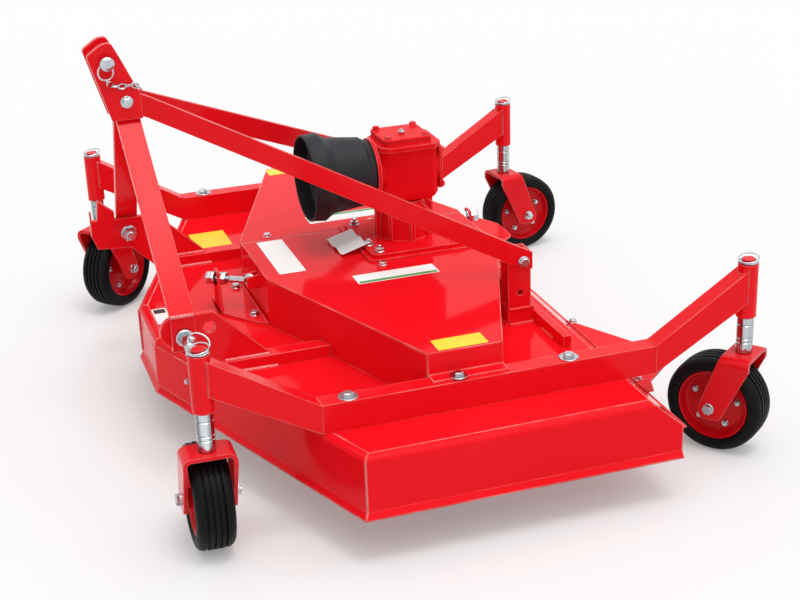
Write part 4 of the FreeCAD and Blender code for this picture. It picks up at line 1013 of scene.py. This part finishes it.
for hole, way, ahead, behind in ((front_hole, pull, 0.024, 0.034), (rear_hole, REAR, 0.060, 0.020)):
    profile = [(-ahead, thread_trough - 0.001)]
    for coil in range(int((ahead + behind) / thread_pitch)):
        profile += [(-ahead + (coil + 0.3) * thread_pitch, thread_crest),
                    (-ahead + (coil + 0.8) * thread_pitch, thread_trough)]
    threads.append(turned(hole, way, profile, 16))
    for start in rod_nuts:
        threads.append(hexagon(hole + way * start, way, rod_nut_across, rod_nut_height, 0.4))
    threads.append(turned(hole + way * rod_washer_at, way,
                          [(0, rod_washer_radius), (rod_washer_sheet, rod_washer_radius)]))
eye = front_hole + pull * eye_reach
threads.append(turned(front_hole, pull,
                      [(shank_start, shank_radius), (eye_reach - eye_radius, shank_radius)], 20))
threads.append(wire_ring(eye, pull.cross(UP), eye_radius, eye_wire))
rods = build("threaded_rods", "mower_frame", zinc, threads)
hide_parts("tensioner_rods")

foot_sheet = 0.0055
foot_bolt_rise = 0.0057
foot_thread = 0.011
cheek_sheet = 0.004
foot = slab([(-0.128, 0.196), (-0.070, 0.140), (0.030, 0.140), (0.110, 0.200), (0.128, 0.224),
             (-0.128, 0.224)], foot_sheet, Vector((0, 0, deck_high.z + 0.0002)))
cheek_front, cheek_rear = eye.y - 0.010, cover_low.y + 0.001
cheeks = [slab([(cheek_front, rod_z - 0.013), (cheek_rear, rod_z - 0.018),
                (cheek_rear, rod_z + 0.016), (cheek_front, rod_z + 0.011)], cheek_sheet,
               Vector((eye.x + x, 0, 0)), REAR, UP) for x in (-0.014, 0.010)]
build("tensioner_foot", "mower_frame", bar_enamel, [foot] + cheeks)
fasteners = []
for x, y in ((-0.105, 0.204), (0.070, 0.206)):
    fasteners += bolt((x, y, deck_high.z + foot_bolt_rise), UP, foot_thread)
build("tensioner_foot_bolts", "mower_frame", zinc, fasteners)


# ---- Blades
# Three rotors under the deck in cast housings: a disc on each shaft with a blade of spring
# steel bolted on, painted black, its cutting edges ground bright.

# Black paint on rolled steel: satin and near black, uneven over scale patches of about 4 mm.
blade_paint, shader = surface("black_paint_on_spring_steel", IOR=1.5)
mottle(blade_paint, shader, 0.05, linear("19191A"), linear("262628"))
mottle(blade_paint, shader, 0.02, grey(0.35), grey(0.5), "Roughness")
relief(blade_paint, shader, 0.004, 0.00006, edge=0.001)
rotors = ("front", "left", "right")
coat(cast_enamel, "blade_spindle_housings")
coat(blade_paint, *("blade_rotor_" + name for name in rotors))

blade_thread, blade_washer = 0.016, 2.2
clamp_thread, clamp_bolt_in = 0.008, 0.028
edge_share, edge_root, edge_slant = 0.497, 0.14, 0.006
edge_back, edge_front = 0.022, 0.0312
edge_sheet, edge_gap = 0.0004, 0.0001
housing_bolts, housing_bolt_circle = 6, 0.065
housing_thread, housing_bolt_drop = 0.009, 0.008
housing_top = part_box("blade_spindle_housings")[1].z
plated = []
for name in rotors:
    spin = joints["blade_spin_" + name]
    low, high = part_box("blade_rotor_" + name)
    centre = Vector((spin["pos_m"][0], spin["pos_m"][1], low.z))
    build("blade_bolt_" + name, "blade_" + name, zinc,
          bolt(centre, -UP, blade_thread, blade_washer)
          + bolt(centre + LEFT * clamp_bolt_in, -UP, clamp_thread)
          + bolt(centre - LEFT * clamp_bolt_in, -UP, clamp_thread))
    edges = []
    for side in (-1, 1):
        tip, root = side * (high.x - low.x) * edge_share, side * edge_root
        edges.append(slab([(tip, side * edge_front), (root, side * edge_front),
                           (root + side * edge_slant, side * edge_back), (tip, side * edge_back)],
                          -edge_sheet, centre - UP * edge_gap))
    build("ground_edges_" + name, "blade_" + name, steel, edges)
    for step in range(housing_bolts):
        angle = 2 * math.pi * (step + 0.5) / housing_bolts
        plated += bolt((centre.x + math.cos(angle) * housing_bolt_circle,
                        centre.y + math.sin(angle) * housing_bolt_circle,
                        housing_top - housing_bolt_drop), -UP, housing_thread)
build("housing_bolts", "mower_frame", zinc, plated)


# ---- Stage
# A plain pale floor under soft studio light from a wide bank of lamps overhead. Floor and sky
# look paler where they are seen or reflected than the light that they give.

def backdrop_rays(material, *kinds):
    """A socket that is 1 for rays of these kinds and 0 for all others."""
    rays = add(material, "ShaderNodeLightPath")
    seen = rays.outputs[kinds[0]]
    for kind in kinds[1:]:
        seen = add(material, "ShaderNodeMath", {"operation": "MAXIMUM"},
                   {0: seen, 1: rays.outputs[kind]}).outputs[0]
    return seen


floor_glow = 0.25
floor_half = 20
ground = cad_box[0][2]
floor_paper, shader = surface("pale_floor", Base_Color=linear("E8E8E8"), Roughness=0.9)
share = add(floor_paper, "ShaderNodeMath", {"operation": "MULTIPLY", 1: floor_glow},
            {0: backdrop_rays(floor_paper, "Is Camera Ray", "Is Glossy Ray")})
glow = add(floor_paper, "ShaderNodeEmission", {"Color": (1, 1, 1, 1), "Strength": 1.0})
blend = add(floor_paper, "ShaderNodeMixShader", {}, {0: share.outputs[0], 1: shader.outputs[0],
                                                     2: glow.outputs[0]})
floor_paper.node_tree.links.new(blend.outputs[0],
                                floor_paper.node_tree.nodes["Material Output"].inputs["Surface"])
floor_mesh = bpy.data.meshes.new("floor")
floor_mesh.from_pydata([(x * floor_half, y * floor_half, ground)
                        for x, y in ((-1, -1), (1, -1), (1, 1), (-1, 1))], [], [(0, 1, 2, 3)])
floor = bpy.data.objects.new("floor", floor_mesh)
bpy.context.scene.collection.objects.link(floor)
floor_mesh.materials.append(floor_paper)

world = bpy.data.worlds.new("studio")
bpy.context.scene.world = world
world.use_nodes = True
sky = world.node_tree.nodes["Background"]
sky.inputs["Color"].default_value = (1, 1, 1, 1)
level = add(world, "ShaderNodeMapRange", {"To Min": 0.55, "To Max": 1.0},
            {"Value": backdrop_rays(world, "Is Camera Ray", "Is Glossy Ray", "Is Transmission Ray")})
world.node_tree.links.new(level.outputs["Result"], sky.inputs["Strength"])

# Both lamps stand this many degrees to the left of overhead, and behind it.
lamp_left, lamp_rear = 14, 6
for name, energy, spread in (("overhead_bank", 1.4, 80), ("key_lamp", 0.75, 20)):
    lamp = bpy.data.objects.new(name, bpy.data.lights.new(name, "SUN"))
    lamp.data.energy = energy
    lamp.data.angle = math.radians(spread)
    lamp.matrix_world = (Matrix.Rotation(math.radians(lamp_left), 4, "Y")
                         @ Matrix.Rotation(math.radians(-lamp_rear), 4, "X"))
    bpy.context.scene.collection.objects.link(lamp)

camera = bpy.data.objects.new("camera", bpy.data.cameras.new("camera"))
bpy.context.scene.collection.objects.link(camera)
camera.data.lens = 70.26
camera.data.sensor_width = 36
camera_place = (3.214, -0.467, 1.260)
azimuth, elevation, roll = 72.13, 22.61, -2.13
camera.matrix_world = (
    Matrix.Translation(camera_place)
    @ Matrix.Rotation(math.radians(azimuth), 4, "Z")
    @ Matrix.Rotation(math.radians(90 - elevation), 4, "X")
    @ Matrix.Rotation(math.radians(roll), 4, "Z"))
bpy.context.scene.camera = camera
bpy.context.scene.view_settings.view_transform = "Standard"
